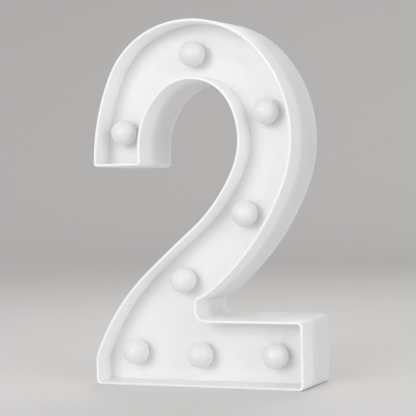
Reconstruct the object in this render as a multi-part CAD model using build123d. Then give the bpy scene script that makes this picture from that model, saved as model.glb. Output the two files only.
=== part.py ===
"""Battery-lit marquee figure "2": a moulded plastic tray with eight frosted globe bulbs.

Millimetres. X runs to the right as seen from the front, Y to the back, Z up. The origin is
under the middle of the foot, half way through the depth, on the surface the figure stands on.
"""
from build123d import *
from dataclasses import dataclass
from math import atan2, cos, dist, hypot, pi, sin, sqrt, tan, radians
import os

# Overall figure, measured at the front rim
digit_height = 219.0
foot_width = 133.1
digit_depth = 45.0
foot_height = 40.3
hook_height = 133.0
notch_height = 11.5
rear_growth = 1.2

# Corner radii of the outline; the sharpest ones are those of the recess and of the rear edge
recess_corner_radius = 0.1
notch_rear_radius = 0.3
foot_bottom_right_radius = 3.0
foot_top_radius = 3.3
foot_side_blend_radius = 12.0
notch_bottom_radius = 5.5

# Places on the face, as shares: across, of the foot's width from its middle; up, 0 to 1 from the ground to
# the hook's end and 1 to 2 from there to the top
hook_left_share = -0.490
hook_right_share = -0.2577
notch_wall_share = 0.0038
foot_side_top_share = 0.1263
outer_curve_shares = [(-0.4056, 1.6249), (-0.1926, 1.9483), (0.3288, 1.7540), (0.4249, 0.8979),
                      (0.0793, 0.4331)]
inner_straight_share = 1.1222
inner_curve_shares = [(-0.1503, 1.5001), (0.1717, 1.4227), (0.1857, 0.9720), (-0.0140, 0.7097),
                      (-0.2348, 0.5175)]

# Housing moulding; the cover's bosses stand on the panel beside the wall, each by the number of the outline's
# stretch and a share of its length
wall = 1.6
panel_thickness = 2.0
recess_draft_degrees = 1.0
boss_diameter = 6.4
boss_inset = 6.0
boss_stretch_shares = [(25, 0.755), (1, 0.180), (2, 0.935), (3, 0.865), (4, 0.795), (13, 0.950), (17, 0.685),
                       (11, 0.500)]
pilot_diameter = 2.1
pilot_depth = 12.0
board_ring_wall = 1.3
board_ring_height = 3.0

# Bulbs: a globe on a stepped neck that snaps into the panel
bulb_diameter = 15.8
bulb_neck_diameter = 11.0
bulb_neck_height = 1.4
bulb_stem_diameter = 9.6
bulb_stem_clearance = 0.1
bulb_bead_height = 1.2
bulb_bead_overhang = 0.35
bulb_bead_gap = 0.05
bulb_wall = 1.1
bulb_shares = [(-0.0203, 1.7675), (0.3246, 1.3499), (-0.3681, 1.2360), (0.2156, 0.7752), (-0.0872, 0.4752),
               (-0.3298, 0.1465), (-0.0113, 0.1383), (0.3471, 0.1436)]

# Light-emitting diodes on small round boards
led_diameter = 5.0
led_height = 8.6
led_rim_diameter = 5.8
led_rim_height = 1.0
led_leg_width = 0.5
led_leg_pitch = 2.54
led_leg_proud = 0.4
board_thickness = 1.0
board_overlap = 0.5

# Back cover, let into the wall
cover_inset = 2.0
cover_thickness = 2.0
cover_clearance = 0.25
screw_hole_diameter = 3.0
screw_shank_diameter = 2.6
screw_head_diameter = 5.0
screw_head_height = 1.7
screw_length = 10.0
screw_thread_clearance = 0.02
screw_cross_width = 0.8
screw_cross_length = 3.0
screw_cross_depth = 1.0
keyhole_head_diameter = 8.0
keyhole_slot_width = 4.0
keyhole_slot_length = 8.0
keyhole_share = (-0.0150, 1.7657)

# Two AA cells side by side
cell_diameter = 14.5
cell_length = 50.5
cell_nub_diameter = 5.5
cell_nub_height = 1.2
cell_edge_radius = 0.6
cell_gap = 0.8
cell_clearance = 0.3

# Battery box under an opening of the cover
box_wall = 1.2
box_lead_gap = 0.58
box_flange = 3.0
box_flange_sides = 0.9
box_flange_thickness = 1.4
box_side_margin = 18.6
box_height_share = 0.4990
contact_thickness = 0.4
contact_width = 10.0
contact_height = 11.0
contact_tab_width = 3.0
contact_tab_length = 2.2
contact_tab_clearance = 0.1
spring_length = 5.0
spring_wire_diameter = 0.6
spring_diameter = 7.0
spring_turns = 4

# Battery door: two tabs hook under the cover's edge and carry the hinge axis
door_thickness = 1.8
door_clearance = 0.25
door_hinge_margin = 5.0
door_latch_margin = 1.6
door_tab_width = 7.0
door_tab_length = 2.5
door_tab_thickness = 1.2
door_tab_gap = 0.2
door_tab_leg = 1.5
door_tab_spacing = 17.0
door_latch_width = 9.0
door_latch_depth = 2.6
door_latch_thickness = 1.1
door_rib_count = 3
door_rib_width = 0.9
door_rib_pitch = 2.2
door_rib_length = 9.0
door_rib_height = 0.4
door_pocket_clearance = 0.6

# Slide switch, staked to the inside of the cover
switch_length = 12.0
switch_width = 6.4
switch_height = 5.2
switch_shell = 0.7
switch_frame_length = 20.0
switch_frame_thickness = 0.5
switch_stake_diameter = 1.8
switch_stake_pitch = 16.0
switch_stake_clearance = 0.1
switch_stake_head = 0.8
switch_travel = 3.0
switch_knob_length = 3.4
switch_knob_width = 2.8
switch_knob_proud = 1.3
switch_clearance = 0.3
switch_slider_foot = 1.4
switch_slider_foot_length = 5.2
switch_slider_foot_width = 4.0
switch_terminal_width = 1.2
switch_terminal_thickness = 0.4
switch_terminal_length = 2.6
switch_terminal_pitch = 6.0

# Insulated leads: a pair runs over all the boards, and splice sleeves join the feeds to it
lead_diameter = 1.3
lead_pitch = 5.6
lead_gap = 0.02
lead_bend_share = 0.45
sleeve_length = 8.0
sleeve_wall = 0.3
lead_end_gap = 0.1
feed_run = 4.0
feed_loop_reach = 9.0
pair_route_start_shares = [(0.3471, 0.1436), (0.1650, 0.1317), (-0.0113, 0.1383), (-0.1900, 0.1278),
                           (-0.3298, 0.1465), (-0.3980, 0.1655), (-0.3900, 0.2470), (-0.3000, 0.3162),
                           (-0.1950, 0.3837)]
pair_route_end_shares = [(-0.0872, 0.4752), (0.0680, 0.6241), (0.2156, 0.7752), (0.2850, 0.8727),
                         (0.3270, 0.9995), (0.3246, 1.3499), (0.2780, 1.5467), (0.1650, 1.7036),
                         (-0.0203, 1.7675), (-0.1880, 1.7199), (-0.3000, 1.5233), (-0.3681, 1.2360)]
sleeve_place_share = -0.2250

# One overrun for all cuts, a length too small to draw, and how often a corner is closed more finely
overrun = 1.0
negligible = 1e-9
corner_steps = 40

# Direction to the back, through the depth
to_back = (0, 1, 0)

# Places through the depth, from the rear edge over the cells and the leads to the face panel
front_y = -digit_depth / 2
rear_y = digit_depth / 2
cover_outer_y = rear_y - cover_inset
cover_inner_y = cover_outer_y - cover_thickness
door_inner_y = cover_outer_y - door_thickness
cell_axis_y = door_inner_y - cell_clearance - cell_diameter / 2
box_floor_y = cell_axis_y - cell_diameter / 2 - cell_clearance
box_bottom_y = box_floor_y - box_wall
pair_lead_y = box_bottom_y - box_lead_gap - lead_diameter / 2
board_back_y = pair_lead_y - lead_diameter / 2 - lead_gap
board_front_y = board_back_y - board_thickness
panel_back_y = board_front_y - board_ring_height
panel_front_y = panel_back_y - panel_thickness
recess_depth = panel_front_y - front_y
recess_inset = wall + recess_depth * tan(radians(recess_draft_degrees))

# Corner radii that follow the wall and the draft
foot_bottom_left_radius = recess_inset + recess_corner_radius
hook_corner_radius = recess_inset + recess_corner_radius
notch_top_radius = rear_growth + notch_rear_radius

# Battery box sizes that follow the cells
box_inner_length = cell_length + spring_length + contact_thickness * 2 + cell_clearance
box_inner_height = cell_diameter * 2 + cell_gap + cell_clearance * 2
box_centre_z = box_height_share * foot_height
box_right_x = foot_width / 2 - box_side_margin
box_left_x = box_right_x - box_inner_length
opening_left_x = box_left_x - box_wall - door_hinge_margin
opening_right_x = box_right_x + door_latch_margin
opening_height = box_inner_height
cell_offset_z = (cell_diameter + cell_gap) / 2
contact_left_x = box_left_x + contact_thickness
contact_right_x = box_right_x - contact_thickness
contact_tab_y = cell_axis_y - contact_height / 2

# Depths of the feeds, worked out from the pair of leads and the switch
feed_y = pair_lead_y + lead_diameter + lead_gap
tag_y = cover_inner_y - switch_frame_thickness - switch_height - switch_terminal_length / 2


@dataclass
class Stretch:
    """One straight or round stretch of the outline: its start, heading, length and whole turn."""

    start: tuple
    heading: float
    length: float
    turn: float = 0.0

    def at(self, distance):
        """The point at a distance along the stretch."""
        x, z = self.start
        if abs(self.turn) < negligible:
            return (x + distance * cos(self.heading), z + distance * sin(self.heading))
        bend = self.turn / self.length
        angle = self.heading + bend * distance
        return (x + (sin(angle) - sin(self.heading)) / bend, z - (cos(angle) - cos(self.heading)) / bend)

    def heading_at(self, distance):
        """The heading at a distance along the stretch."""
        return self.heading + self.turn * distance / self.length

    def trimmed(self, before, after):
        """The stretch without a length at each end."""
        rest = self.length - before - after
        return Stretch(self.at(before), self.heading_at(before), rest, self.turn * rest / self.length)

    def reverse(self):
        """The same stretch walked the other way."""
        return Stretch(self.at(self.length), self.heading + self.turn + pi, self.length, -self.turn)

    def beside(self, distance, amount):
        """The point at a distance along the stretch, moved to its left by an amount."""
        x, z = self.at(distance)
        angle = self.heading_at(distance)
        return (x - sin(angle) * amount, z + cos(angle) * amount)

    def edge(self, amount):
        """The stretch as an edge, moved outward by an amount."""
        points = [self.beside(distance, amount) for distance in (0, self.length / 2, self.length)]
        return Line(points[0], points[2]) if abs(self.turn) < negligible else ThreePointArc(*points)


def placed(share):
    """A place on the face from its share across and its share up."""
    across, up = share
    return (across * foot_width, hook_height * min(up, 1) + (digit_height - hook_height) * max(up - 1, 0))


def scaled(shares):
    """Places on the face from a table of shares."""
    return [placed(share) for share in shares]


def facing_front(y):
    """A sketch plane at that depth whose normal points to the front."""
    return Plane(origin=(0, y, 0), x_dir=(1, 0, 0), z_dir=(0, -1, 0))


def block(x_low, x_high, y_low, y_high, z_low, z_high):
    """A box between two corners."""
    solid = Box(x_high - x_low, y_high - y_low, z_high - z_low)
    return Pos((x_low + x_high) / 2, (y_low + y_high) / 2, (z_low + z_high) / 2) * solid


def rod(place, diameter, y_low, y_high):
    """A cylinder along the depth at a place of the face."""
    turned = Rot(-90, 0, 0) * Cylinder(diameter / 2, y_high - y_low)
    return Pos(place[0], (y_low + y_high) / 2, place[1]) * turned


def wrapped(angle):
    """An angle brought between minus and plus half a turn."""
    return atan2(sin(angle), cos(angle))


def straight(start, end):
    """A straight stretch between two points."""
    return Stretch(start, atan2(end[1] - start[1], end[0] - start[0]), dist(start, end))


def tangent_run(start, heading, points):
    """Round stretches through the points, each tangent to the one before it."""
    run = []
    for point in points:
        chord = straight(start, point)
        half_turn = wrapped(chord.heading - heading)
        run.append(Stretch(start, heading, chord.length * half_turn / sin(half_turn), half_turn * 2))
        start = point
        heading = heading + half_turn * 2
    return run


def corner_cuts(here, after, radius):
    """What a round corner takes off the end of one stretch and the start of the next."""
    turn = wrapped(after.heading - here.heading_at(here.length))
    side = radius if turn > 0 else -radius
    before = beyond = radius * tan(abs(turn) / 2)
    for step in range(corner_steps):
        first = here.beside(here.length - before, side)
        last = after.beside(beyond, side)
        gap_x = last[0] - first[0]
        gap_z = last[1] - first[1]
        arriving = here.heading_at(here.length - before)
        leaving = after.heading_at(beyond)
        spread = sin(leaving - arriving)
        before = before - (gap_x * sin(leaving) - gap_z * cos(leaving)) / spread
        beyond = beyond - (cos(arriving) * gap_z - sin(arriving) * gap_x) / spread
    return before, beyond


def rounded(stretches, radii):
    """The closed outline with corners rounded; radii go by the number of the stretch that ends there."""
    count = len(stretches)
    cuts = {number: corner_cuts(stretches[number], stretches[(number + 1) % count], radius)
            for number, radius in radii.items()}
    rests = [stretch.trimmed(cuts.get((number - 1) % count, (0, 0))[1], cuts.get(number, (0, 0))[0])
             for number, stretch in enumerate(stretches)]
    outline = []
    for number, rest in enumerate(rests):
        outline.append(rest)
        if number in radii:
            heading = rest.heading_at(rest.length)
            turn = wrapped(rests[(number + 1) % count].heading - heading)
            outline.append(Stretch(rest.at(rest.length), heading, radii[number] * abs(turn), turn))
    return outline


def figure_outline():
    """The figure's outline at the front rim, walked clockwise from the hook's outer corner."""
    half = foot_width / 2
    up = pi / 2
    hook_left = (hook_left_share * foot_width, hook_height)
    hook_right = (hook_right_share * foot_width, hook_height)
    straight_end = placed((hook_right_share, inner_straight_share))
    notch_bottom = (notch_wall_share * foot_width, foot_height)
    notch_top = (notch_bottom[0], foot_height + notch_height)
    side_top = (-half, foot_side_top_share * hook_height)
    outer = tangent_run(hook_left, up, scaled(outer_curve_shares) + [notch_top])
    inner = tangent_run(straight_end, up, scaled(inner_curve_shares) + [side_top])
    corners = [notch_top, notch_bottom, (half, foot_height), (half, 0), (-half, 0), side_top]
    foot = [straight(start, end) for start, end in zip(corners, corners[1:])]
    back = [stretch.reverse() for stretch in reversed(inner)]
    ends = [straight(straight_end, hook_right), straight(hook_right, hook_left)]
    stretches = outer + foot + back + ends
    notch = len(outer) - 1
    last = len(stretches) - 1
    radii = {notch: notch_top_radius, notch + 1: notch_bottom_radius, notch + 2: foot_top_radius,
             notch + 3: foot_bottom_right_radius, notch + 4: foot_bottom_left_radius,
             notch + 5: foot_side_blend_radius, last - 1: hook_corner_radius, last: hook_corner_radius}
    return rounded(stretches, radii)


outline = figure_outline()
bulb_places = scaled(bulb_shares)
boss_places = [outline[number].beside(outline[number].length * share, -boss_inset)
               for number, share in boss_stretch_shares]
keyhole_place = placed(keyhole_share)
switch_place = ((opening_left_x - box_flange - foot_width / 2 + wall) / 2, box_centre_z)


def outline_face(amount, y):
    """The figure's face at a depth, moved outward by an amount."""
    return facing_front(y) * Face(Wire([stretch.edge(amount) for stretch in outline]))


def growth(y):
    """How far the draft has moved the wall out at a depth."""
    return (y - front_y) * rear_growth / digit_depth


def drafted_body(y_low, y_high, inset):
    """The figure between two depths, wider to the back, drawn in by an inset."""
    ends = [outline_face(growth(y) - inset, y) for y in (y_high, y_low)]
    return loft(ends, ruled=True)


def housing():
    """Side wall, rim and recessed face panel in one moulding, with bosses and board rings."""
    above_base = block(-foot_width, foot_width, front_y - overrun, rear_y + overrun, 0, digit_height * 2)
    body = drafted_body(front_y, rear_y, 0) & above_base
    recess_floor = outline_face(-recess_inset, panel_front_y)
    recess = loft([recess_floor, outline_face(-wall, front_y)], ruled=True)
    body = body - recess
    above_floor = block(-foot_width, foot_width, front_y, rear_y + overrun, wall, digit_height * 2)
    body = body - (drafted_body(panel_back_y, rear_y, wall) & above_floor)
    for place in boss_places:
        body = body + rod(place, boss_diameter, panel_back_y, cover_inner_y)
        body = body - rod(place, pilot_diameter, cover_inner_y - pilot_depth, cover_inner_y + overrun)
    ring_outer = bulb_board_diameter()
    ring_inner = ring_outer - board_ring_wall * 2
    for place in bulb_places:
        ring = rod(place, ring_outer, panel_back_y, board_front_y)
        body = body + (ring - rod(place, ring_inner, panel_back_y, board_front_y + overrun))
        hole = bulb_stem_diameter + bulb_stem_clearance * 2
        body = body - rod(place, hole, panel_front_y - overrun, panel_back_y + overrun)
    return body


def bulb_board_diameter():
    """The round board covers the ring that stands round each bulb's bead."""
    bead = bulb_stem_diameter + (bulb_stem_clearance + bulb_bead_overhang) * 2
    return bead + (board_overlap + board_ring_wall) * 2


def back_cover():
    """Plate let into the wall, with openings for the cells, the switch and a hanging nail."""
    lowest = wall + cover_clearance
    face = outline_face(growth(cover_inner_y) - lowest, cover_inner_y)
    above_floor = block(-foot_width, foot_width, front_y, rear_y, lowest, digit_height * 2)
    plate = extrude(face, amount=cover_thickness, dir=to_back) & above_floor
    low_y = cover_inner_y - overrun
    high_y = cover_outer_y + overrun
    for place in boss_places:
        plate = plate - rod(place, screw_hole_diameter, low_y, high_y)
    x, z = keyhole_place
    plate = plate - rod(keyhole_place, keyhole_head_diameter, low_y, high_y)
    plate = plate - block(x - keyhole_slot_width / 2, x + keyhole_slot_width / 2, low_y, high_y,
                          z, z + keyhole_slot_length)
    plate = plate - rod((x, z + keyhole_slot_length), keyhole_slot_width, low_y, high_y)
    plate = plate - block(opening_left_x, opening_right_x, low_y, high_y,
                          box_centre_z - opening_height / 2, box_centre_z + opening_height / 2)
    slot_length = switch_knob_length + switch_travel + switch_clearance * 2
    slot_width = switch_knob_width + switch_clearance * 2
    x, z = switch_place
    plate = plate - block(x - slot_length / 2, x + slot_length / 2, low_y, high_y,
                          z - slot_width / 2, z + slot_width / 2)
    stake_end = cover_inner_y - switch_frame_thickness - switch_stake_head
    for side in (-1, 1):
        place = (x + side * switch_stake_pitch / 2, z)
        plate = plate + rod(place, switch_stake_diameter, stake_end, cover_inner_y)
    return plate


def battery_box():
    """Open box for two cells, with a flange against the cover and slots for the door."""
    half_height = box_inner_height / 2
    outer_left = box_left_x - box_wall
    outer_right = box_right_x + box_wall
    low_z = box_centre_z - half_height
    high_z = box_centre_z + half_height
    shell = block(outer_left, outer_right, box_bottom_y, cover_inner_y, low_z - box_wall, high_z + box_wall)
    flange_y = cover_inner_y - box_flange_thickness
    shell = shell + block(opening_left_x - box_flange, opening_right_x + box_flange, flange_y, cover_inner_y,
                          low_z - box_wall - box_flange_sides, high_z + box_wall + box_flange_sides)
    shell = shell - block(box_left_x, box_right_x, box_floor_y, cover_inner_y + overrun, low_z, high_z)
    ridge_half = cell_gap / 2
    ridge_top = box_floor_y + cell_diameter / 4
    shell = shell + block(box_left_x + spring_length + contact_thickness,
                          box_right_x - spring_length - contact_thickness,
                          box_floor_y, ridge_top, box_centre_z - ridge_half, box_centre_z + ridge_half)
    for side in (-1, 1):
        z = box_centre_z + side * cell_offset_z
        tab_tall = contact_tab_width / 2 + contact_tab_clearance
        shell = shell - block(outer_left - overrun, box_left_x + overrun,
                              contact_tab_y - contact_tab_clearance,
                              contact_tab_y + contact_thickness + contact_tab_clearance,
                              z - tab_tall, z + tab_tall)
    tab_half = door_tab_width / 2 + door_pocket_clearance
    tab_reach = hypot(door_tab_length, door_tab_gap + cover_thickness + door_tab_thickness)
    for side in (-1, 1):
        z = box_centre_z + side * door_tab_spacing / 2
        shell = shell - block(opening_left_x - door_tab_length - door_pocket_clearance,
                              opening_left_x + tab_reach + door_pocket_clearance / 2,
                              flange_y - overrun, cover_inner_y + overrun, z - tab_half, z + tab_half)
    latch_half = door_latch_width / 2 + door_pocket_clearance
    shell = shell - block(opening_right_x - door_latch_margin - overrun,
                          opening_right_x + door_pocket_clearance,
                          flange_y - overrun, cover_inner_y + overrun,
                          box_centre_z - latch_half, box_centre_z + latch_half)
    latch_pocket_low = cover_outer_y - door_thickness - door_latch_depth - door_pocket_clearance
    shell = shell - block(box_right_x - overrun, opening_right_x - door_clearance + door_pocket_clearance,
                          latch_pocket_low, cover_inner_y + overrun,
                          box_centre_z - latch_half, box_centre_z + latch_half)
    return shell


def battery_door():
    """Door plate with two hinge tabs, a latch tongue and grip ribs."""
    half_height = opening_height / 2 - door_clearance
    left = opening_left_x + door_clearance
    right = opening_right_x - door_clearance
    door = block(left, right, door_inner_y, cover_outer_y,
                 box_centre_z - half_height, box_centre_z + half_height)
    tab_high = cover_inner_y - door_tab_gap
    tab_low = tab_high - door_tab_thickness
    for side in (-1, 1):
        z = box_centre_z + side * door_tab_spacing / 2
        low_z = z - door_tab_width / 2
        high_z = z + door_tab_width / 2
        door = door + block(left, left + door_tab_leg, tab_low, door_inner_y, low_z, high_z)
        door = door + block(opening_left_x - door_tab_length, left + door_tab_leg, tab_low, tab_high,
                            low_z, high_z)
    latch_half = door_latch_width / 2
    door = door + block(right - door_latch_thickness, right, door_inner_y - door_latch_depth, door_inner_y,
                        box_centre_z - latch_half, box_centre_z + latch_half)
    for number in range(door_rib_count):
        x = right - door_rib_pitch * (number + 1)
        door = door + block(x - door_rib_width / 2, x + door_rib_width / 2, cover_outer_y,
                            cover_outer_y + door_rib_height,
                            box_centre_z - door_rib_length / 2, box_centre_z + door_rib_length / 2)
    return door


def aa_cell(side):
    """One cell; side 1 is the upper one with its nub to the right, side -1 the lower one, reversed."""
    can_length = cell_length - cell_nub_height
    can = fillet(Cylinder(cell_diameter / 2, can_length).edges(), cell_edge_radius)
    nub = Pos(0, 0, (can_length + cell_nub_height) / 2) * Cylinder(cell_nub_diameter / 2, cell_nub_height)
    cell = Rot(0, side * 90, 0) * Pos(0, 0, -cell_nub_height / 2) * (can + nub)
    if side > 0:
        centre_x = contact_right_x - cell_clearance - cell_length / 2
    else:
        centre_x = contact_left_x + cell_clearance + cell_length / 2
    return Pos(centre_x, cell_axis_y, box_centre_z + side * cell_offset_z) * cell


def biarc(start, start_heading, end, end_heading):
    """Two arcs that leave and arrive with the given headings."""
    chord = end - start
    both = start_heading + end_heading
    a = 2 * (1 - start_heading.dot(end_heading))
    b = 2 * chord.dot(both)
    c = -chord.dot(chord)
    if abs(a) < negligible:
        reach = -c / b
    else:
        reach = (-b + sqrt(b * b - 4 * a * c)) / (2 * a)
    middle = (start + end + (start_heading - end_heading) * reach) * 0.5
    first = TangentArc(start, middle, tangent=start_heading)
    second = TangentArc(middle, end, tangent=first % 1)
    return [first, second]


def coil_path(pitch):
    """A coil along Z in quarter turns, each of two tangent arcs."""
    radius = (spring_diameter - spring_wire_diameter) / 2
    rise = pitch / (2 * pi)
    edges = []
    steps = spring_turns * 4
    for step in range(steps):
        places = []
        headings = []
        for angle in (step * pi / 2, (step + 1) * pi / 2):
            places.append(Vector(radius * cos(angle), radius * sin(angle), rise * angle))
            headings.append(Vector(-radius * sin(angle), radius * cos(angle), rise).normalized())
        edges = edges + biarc(places[0], headings[0], places[1], headings[1])
    return edges


def cell_spring(side):
    """Coil spring behind a cell's flat end, one unbroken wire."""
    pitch = (spring_length - spring_wire_diameter) / spring_turns
    edges = coil_path(pitch)
    path = Wire(edges)
    start = path @ 0
    profile = Plane(origin=start, z_dir=path % 0) * Circle(spring_wire_diameter / 2)
    coil = sweep(profile, path=path)
    print("spring", side, "least gap between turns", round(pitch - spring_wire_diameter, 3))
    turned = Rot(0, side * 90, 0) * Pos(0, 0, spring_wire_diameter / 2) * coil
    foot_x = contact_left_x if side > 0 else contact_right_x
    return Pos(foot_x, cell_axis_y, box_centre_z + side * cell_offset_z) * turned


def contact_tab(side):
    """Solder tab of a contact, through the left end wall of the box."""
    z = box_centre_z + side * cell_offset_z
    return block(box_left_x - box_wall - contact_tab_length, box_left_x,
                 contact_tab_y, contact_tab_y + contact_thickness,
                 z - contact_tab_width / 2, z + contact_tab_width / 2)


def contact_plate(end, sides):
    """Sheet contact against one end wall of the box; end -1 is the left wall, 1 the right wall."""
    if end < 0:
        low_x, high_x = box_left_x, contact_left_x
    else:
        low_x, high_x = contact_right_x, box_right_x
    low_z = box_centre_z + min(sides) * cell_offset_z - contact_width / 2
    high_z = box_centre_z + max(sides) * cell_offset_z + contact_width / 2
    plate = block(low_x, high_x, cell_axis_y - contact_height / 2, cell_axis_y + contact_height / 2,
                  low_z, high_z)
    return plate + contact_tab(sides[0]) if end < 0 else plate


def bulb_cover(place):
    """Hollow frosted globe, its neck on the panel and its stem through it, with a snap bead."""
    ball = bulb_diameter / 2
    neck = bulb_neck_diameter / 2
    stem = bulb_stem_diameter / 2
    bead = stem + bulb_stem_clearance + bulb_bead_overhang
    ball_height = bulb_neck_height + sqrt(ball ** 2 - neck ** 2)
    inner_ball = ball - bulb_wall
    inner_stem = stem - bulb_wall
    inner_start = ball_height - sqrt(inner_ball ** 2 - inner_stem ** 2)
    bead_top = -panel_thickness - bulb_bead_gap
    bead_low = bead_top - bulb_bead_height
    corners = [(inner_stem, inner_start), (inner_stem, bead_low), (stem, bead_low), (bead, bead_top),
               (stem, bead_top), (stem, 0), (neck, 0), (neck, bulb_neck_height)]
    top = (0, ball_height + ball)
    inner_top = (0, ball_height + inner_ball)
    edges = [Line(start, end) for start, end in zip(corners, corners[1:])]
    edges.append(ThreePointArc(corners[-1], (ball, ball_height), top))
    edges.append(Line(top, inner_top))
    edges.append(ThreePointArc(inner_top, (inner_ball, ball_height), corners[0]))
    section = Plane.XZ * Face(Wire(edges))
    globe = revolve(section, axis=Axis.Z)
    return Pos(place[0], panel_front_y, place[1]) * Rot(90, 0, 0) * globe


def led(place):
    """Clear dome on a rim, with two legs through the board."""
    rim = Cylinder(led_rim_diameter / 2, led_rim_height, align=(Align.CENTER, Align.CENTER, Align.MIN))
    straight = led_height - led_diameter / 2
    tube = Cylinder(led_diameter / 2, straight, align=(Align.CENTER, Align.CENTER, Align.MIN))
    body = rim + tube + Pos(0, 0, straight) * Sphere(led_diameter / 2)
    half_leg = led_leg_width / 2
    for side in (-1, 1):
        x = side * led_leg_pitch / 2
        body = body + block(x - half_leg, x + half_leg, -half_leg, half_leg,
                            -board_thickness - led_leg_proud, led_rim_height / 2)
    return Pos(place[0], board_front_y, place[1]) * Rot(90, 0, 0) * body


def led_board(place):
    """Round board behind a bulb, drilled for the two legs."""
    board = rod(place, bulb_board_diameter(), board_front_y, board_back_y)
    half_hole = led_leg_width / 2
    for side in (-1, 1):
        x = place[0] + side * led_leg_pitch / 2
        board = board - block(x - half_hole, x + half_hole, board_front_y - overrun, board_back_y + overrun,
                              place[1] - half_hole, place[1] + half_hole)
    return board


def cover_screw(place):
    """Pan-head screw with a cross recess, through the cover into its boss."""
    head = rod(place, screw_head_diameter, cover_outer_y, cover_outer_y + screw_head_height)
    outer = head.faces().sort_by(Axis.Y)[-1]
    head = fillet(outer.edges(), screw_head_height / 2)
    shank_diameter = pilot_diameter - screw_thread_clearance * 2
    shank = rod(place, shank_diameter, cover_outer_y - screw_length, cover_inner_y)
    neck = rod(place, screw_shank_diameter, cover_inner_y, cover_outer_y)
    screw = head + shank + neck
    top = cover_outer_y + screw_head_height
    half_width = screw_cross_width / 2
    half_length = screw_cross_length / 2
    x, z = place
    for wide, tall in ((half_length, half_width), (half_width, half_length)):
        screw = screw - block(x - wide, x + wide, top - screw_cross_depth, top + overrun, z - tall, z + tall)
    return screw


def switch_body():
    """Open case of the slide switch behind its frame."""
    x, z = switch_place
    high_y = cover_inner_y - switch_frame_thickness
    low_y = high_y - switch_height
    case = block(x - switch_length / 2, x + switch_length / 2, low_y, high_y,
                 z - switch_width / 2, z + switch_width / 2)
    inner_half = switch_length / 2 - switch_shell
    inner_tall = switch_width / 2 - switch_shell
    return case - block(x - inner_half, x + inner_half, low_y + switch_shell, high_y + overrun,
                        z - inner_tall, z + inner_tall)


def switch_frame():
    """Sheet frame between the case and the cover, held by two stakes."""
    x, z = switch_place
    low_y = cover_inner_y - switch_frame_thickness
    frame = block(x - switch_frame_length / 2, x + switch_frame_length / 2, low_y, cover_inner_y,
                  z - switch_width / 2, z + switch_width / 2)
    slot_half = (switch_knob_length + switch_travel) / 2 + switch_clearance
    slot_tall = switch_knob_width / 2 + switch_clearance
    frame = frame - block(x - slot_half, x + slot_half, low_y - overrun, cover_inner_y + overrun,
                          z - slot_tall, z + slot_tall)
    hole = switch_stake_diameter + switch_stake_clearance * 2
    for side in (-1, 1):
        place = (x + side * switch_stake_pitch / 2, z)
        frame = frame - rod(place, hole, low_y - overrun, cover_inner_y + overrun)
    return frame


def switch_slider():
    """Knob with a foot inside the case, at the OFF end of its travel."""
    x, z = switch_place
    x = x - switch_travel / 2
    frame_y = cover_inner_y - switch_frame_thickness
    foot_high = frame_y - switch_clearance
    knob = block(x - switch_knob_length / 2, x + switch_knob_length / 2, foot_high,
                 cover_outer_y + switch_knob_proud, z - switch_knob_width / 2, z + switch_knob_width / 2)
    half = switch_slider_foot_length / 2
    tall = switch_slider_foot_width / 2
    return knob + block(x - half, x + half, foot_high - switch_slider_foot, foot_high, z - tall, z + tall)


def switch_terminals():
    """Two solder tags under the case."""
    x, z = switch_place
    high_y = cover_inner_y - switch_frame_thickness - switch_height
    tags = []
    for side in (-1, 1):
        centre = x + side * switch_terminal_pitch / 2
        tags.append(block(centre - switch_terminal_thickness / 2, centre + switch_terminal_thickness / 2,
                          high_y - switch_terminal_length, high_y,
                          z - switch_terminal_width / 2, z + switch_terminal_width / 2))
    return Compound(children=tags)


def lead(name, points):
    """Insulated lead along hand-placed points: straight runs joined by the largest tangent arcs."""
    route = [Vector(*point) for point in points]
    radii = []
    for before, corner, after in zip(route, route[1:], route[2:]):
        arriving = corner - before
        leaving = after - corner
        half_turn = radians(arriving.get_angle(leaving)) / 2
        radii.append(lead_bend_share * min(arriving.length, leaving.length) / tan(half_turn))
    path = FilletPolyline(*route, radius=radii)
    profile = Plane(origin=path @ 0, z_dir=path % 0) * Circle(lead_diameter / 2)
    tube = sweep(profile, path=path)
    expected = pi * lead_diameter ** 2 / 4 * path.length
    print(name, "length", round(path.length, 1), "radii", [round(radius, 1) for radius in radii],
          "volume over section times length", round(tube.volume / expected, 4))
    return tube


def beside(route, distance):
    """A flat route moved sideways, each corner kept parallel."""
    moved = []
    for number, corner in enumerate(route):
        before = route[max(number - 1, 0)]
        after = route[min(number + 1, len(route) - 1)]
        headings = []
        for first, last in ((before, corner), (corner, after)):
            length = hypot(last[0] - first[0], last[1] - first[1])
            if length > negligible:
                headings.append(((last[0] - first[0]) / length, (last[1] - first[1]) / length))
        across = sum(-heading[1] for heading in headings), sum(heading[0] for heading in headings)
        size = hypot(*across)
        stretch = 2 * distance / (size * size) if len(headings) == 2 else distance / size
        moved.append((corner[0] + across[0] * stretch, corner[1] + across[1] * stretch))
    return moved


def pair_lead(name, side):
    """One lead of the pair that lies on the backs of all the boards."""
    route = beside(scaled(pair_route_start_shares + pair_route_end_shares), side * lead_pitch / 2)
    return lead(name, [(x, pair_lead_y, z) for x, z in route])


def sleeve_centre_z(side):
    """Height of a splice sleeve's middle, on its lead of the pair."""
    route = beside(scaled(pair_route_start_shares), side * lead_pitch / 2)
    low, high = route[4], route[3]
    x = sleeve_place_share * foot_width
    return low[1] + (high[1] - low[1]) * (x - low[0]) / (high[0] - low[0])


def splice_sleeve(pair, side):
    """Flat shrink sleeve round the pair lead, where a feed joins it."""
    z = sleeve_centre_z(side)
    x = sleeve_place_share * foot_width
    half_height = lead_diameter / 2 + sleeve_wall
    body = block(x - sleeve_length / 2, x + sleeve_length / 2, pair_lead_y - lead_diameter / 2 + lead_gap,
                 feed_y + lead_diameter / 2, z - half_height, z + half_height)
    return body - pair


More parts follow.
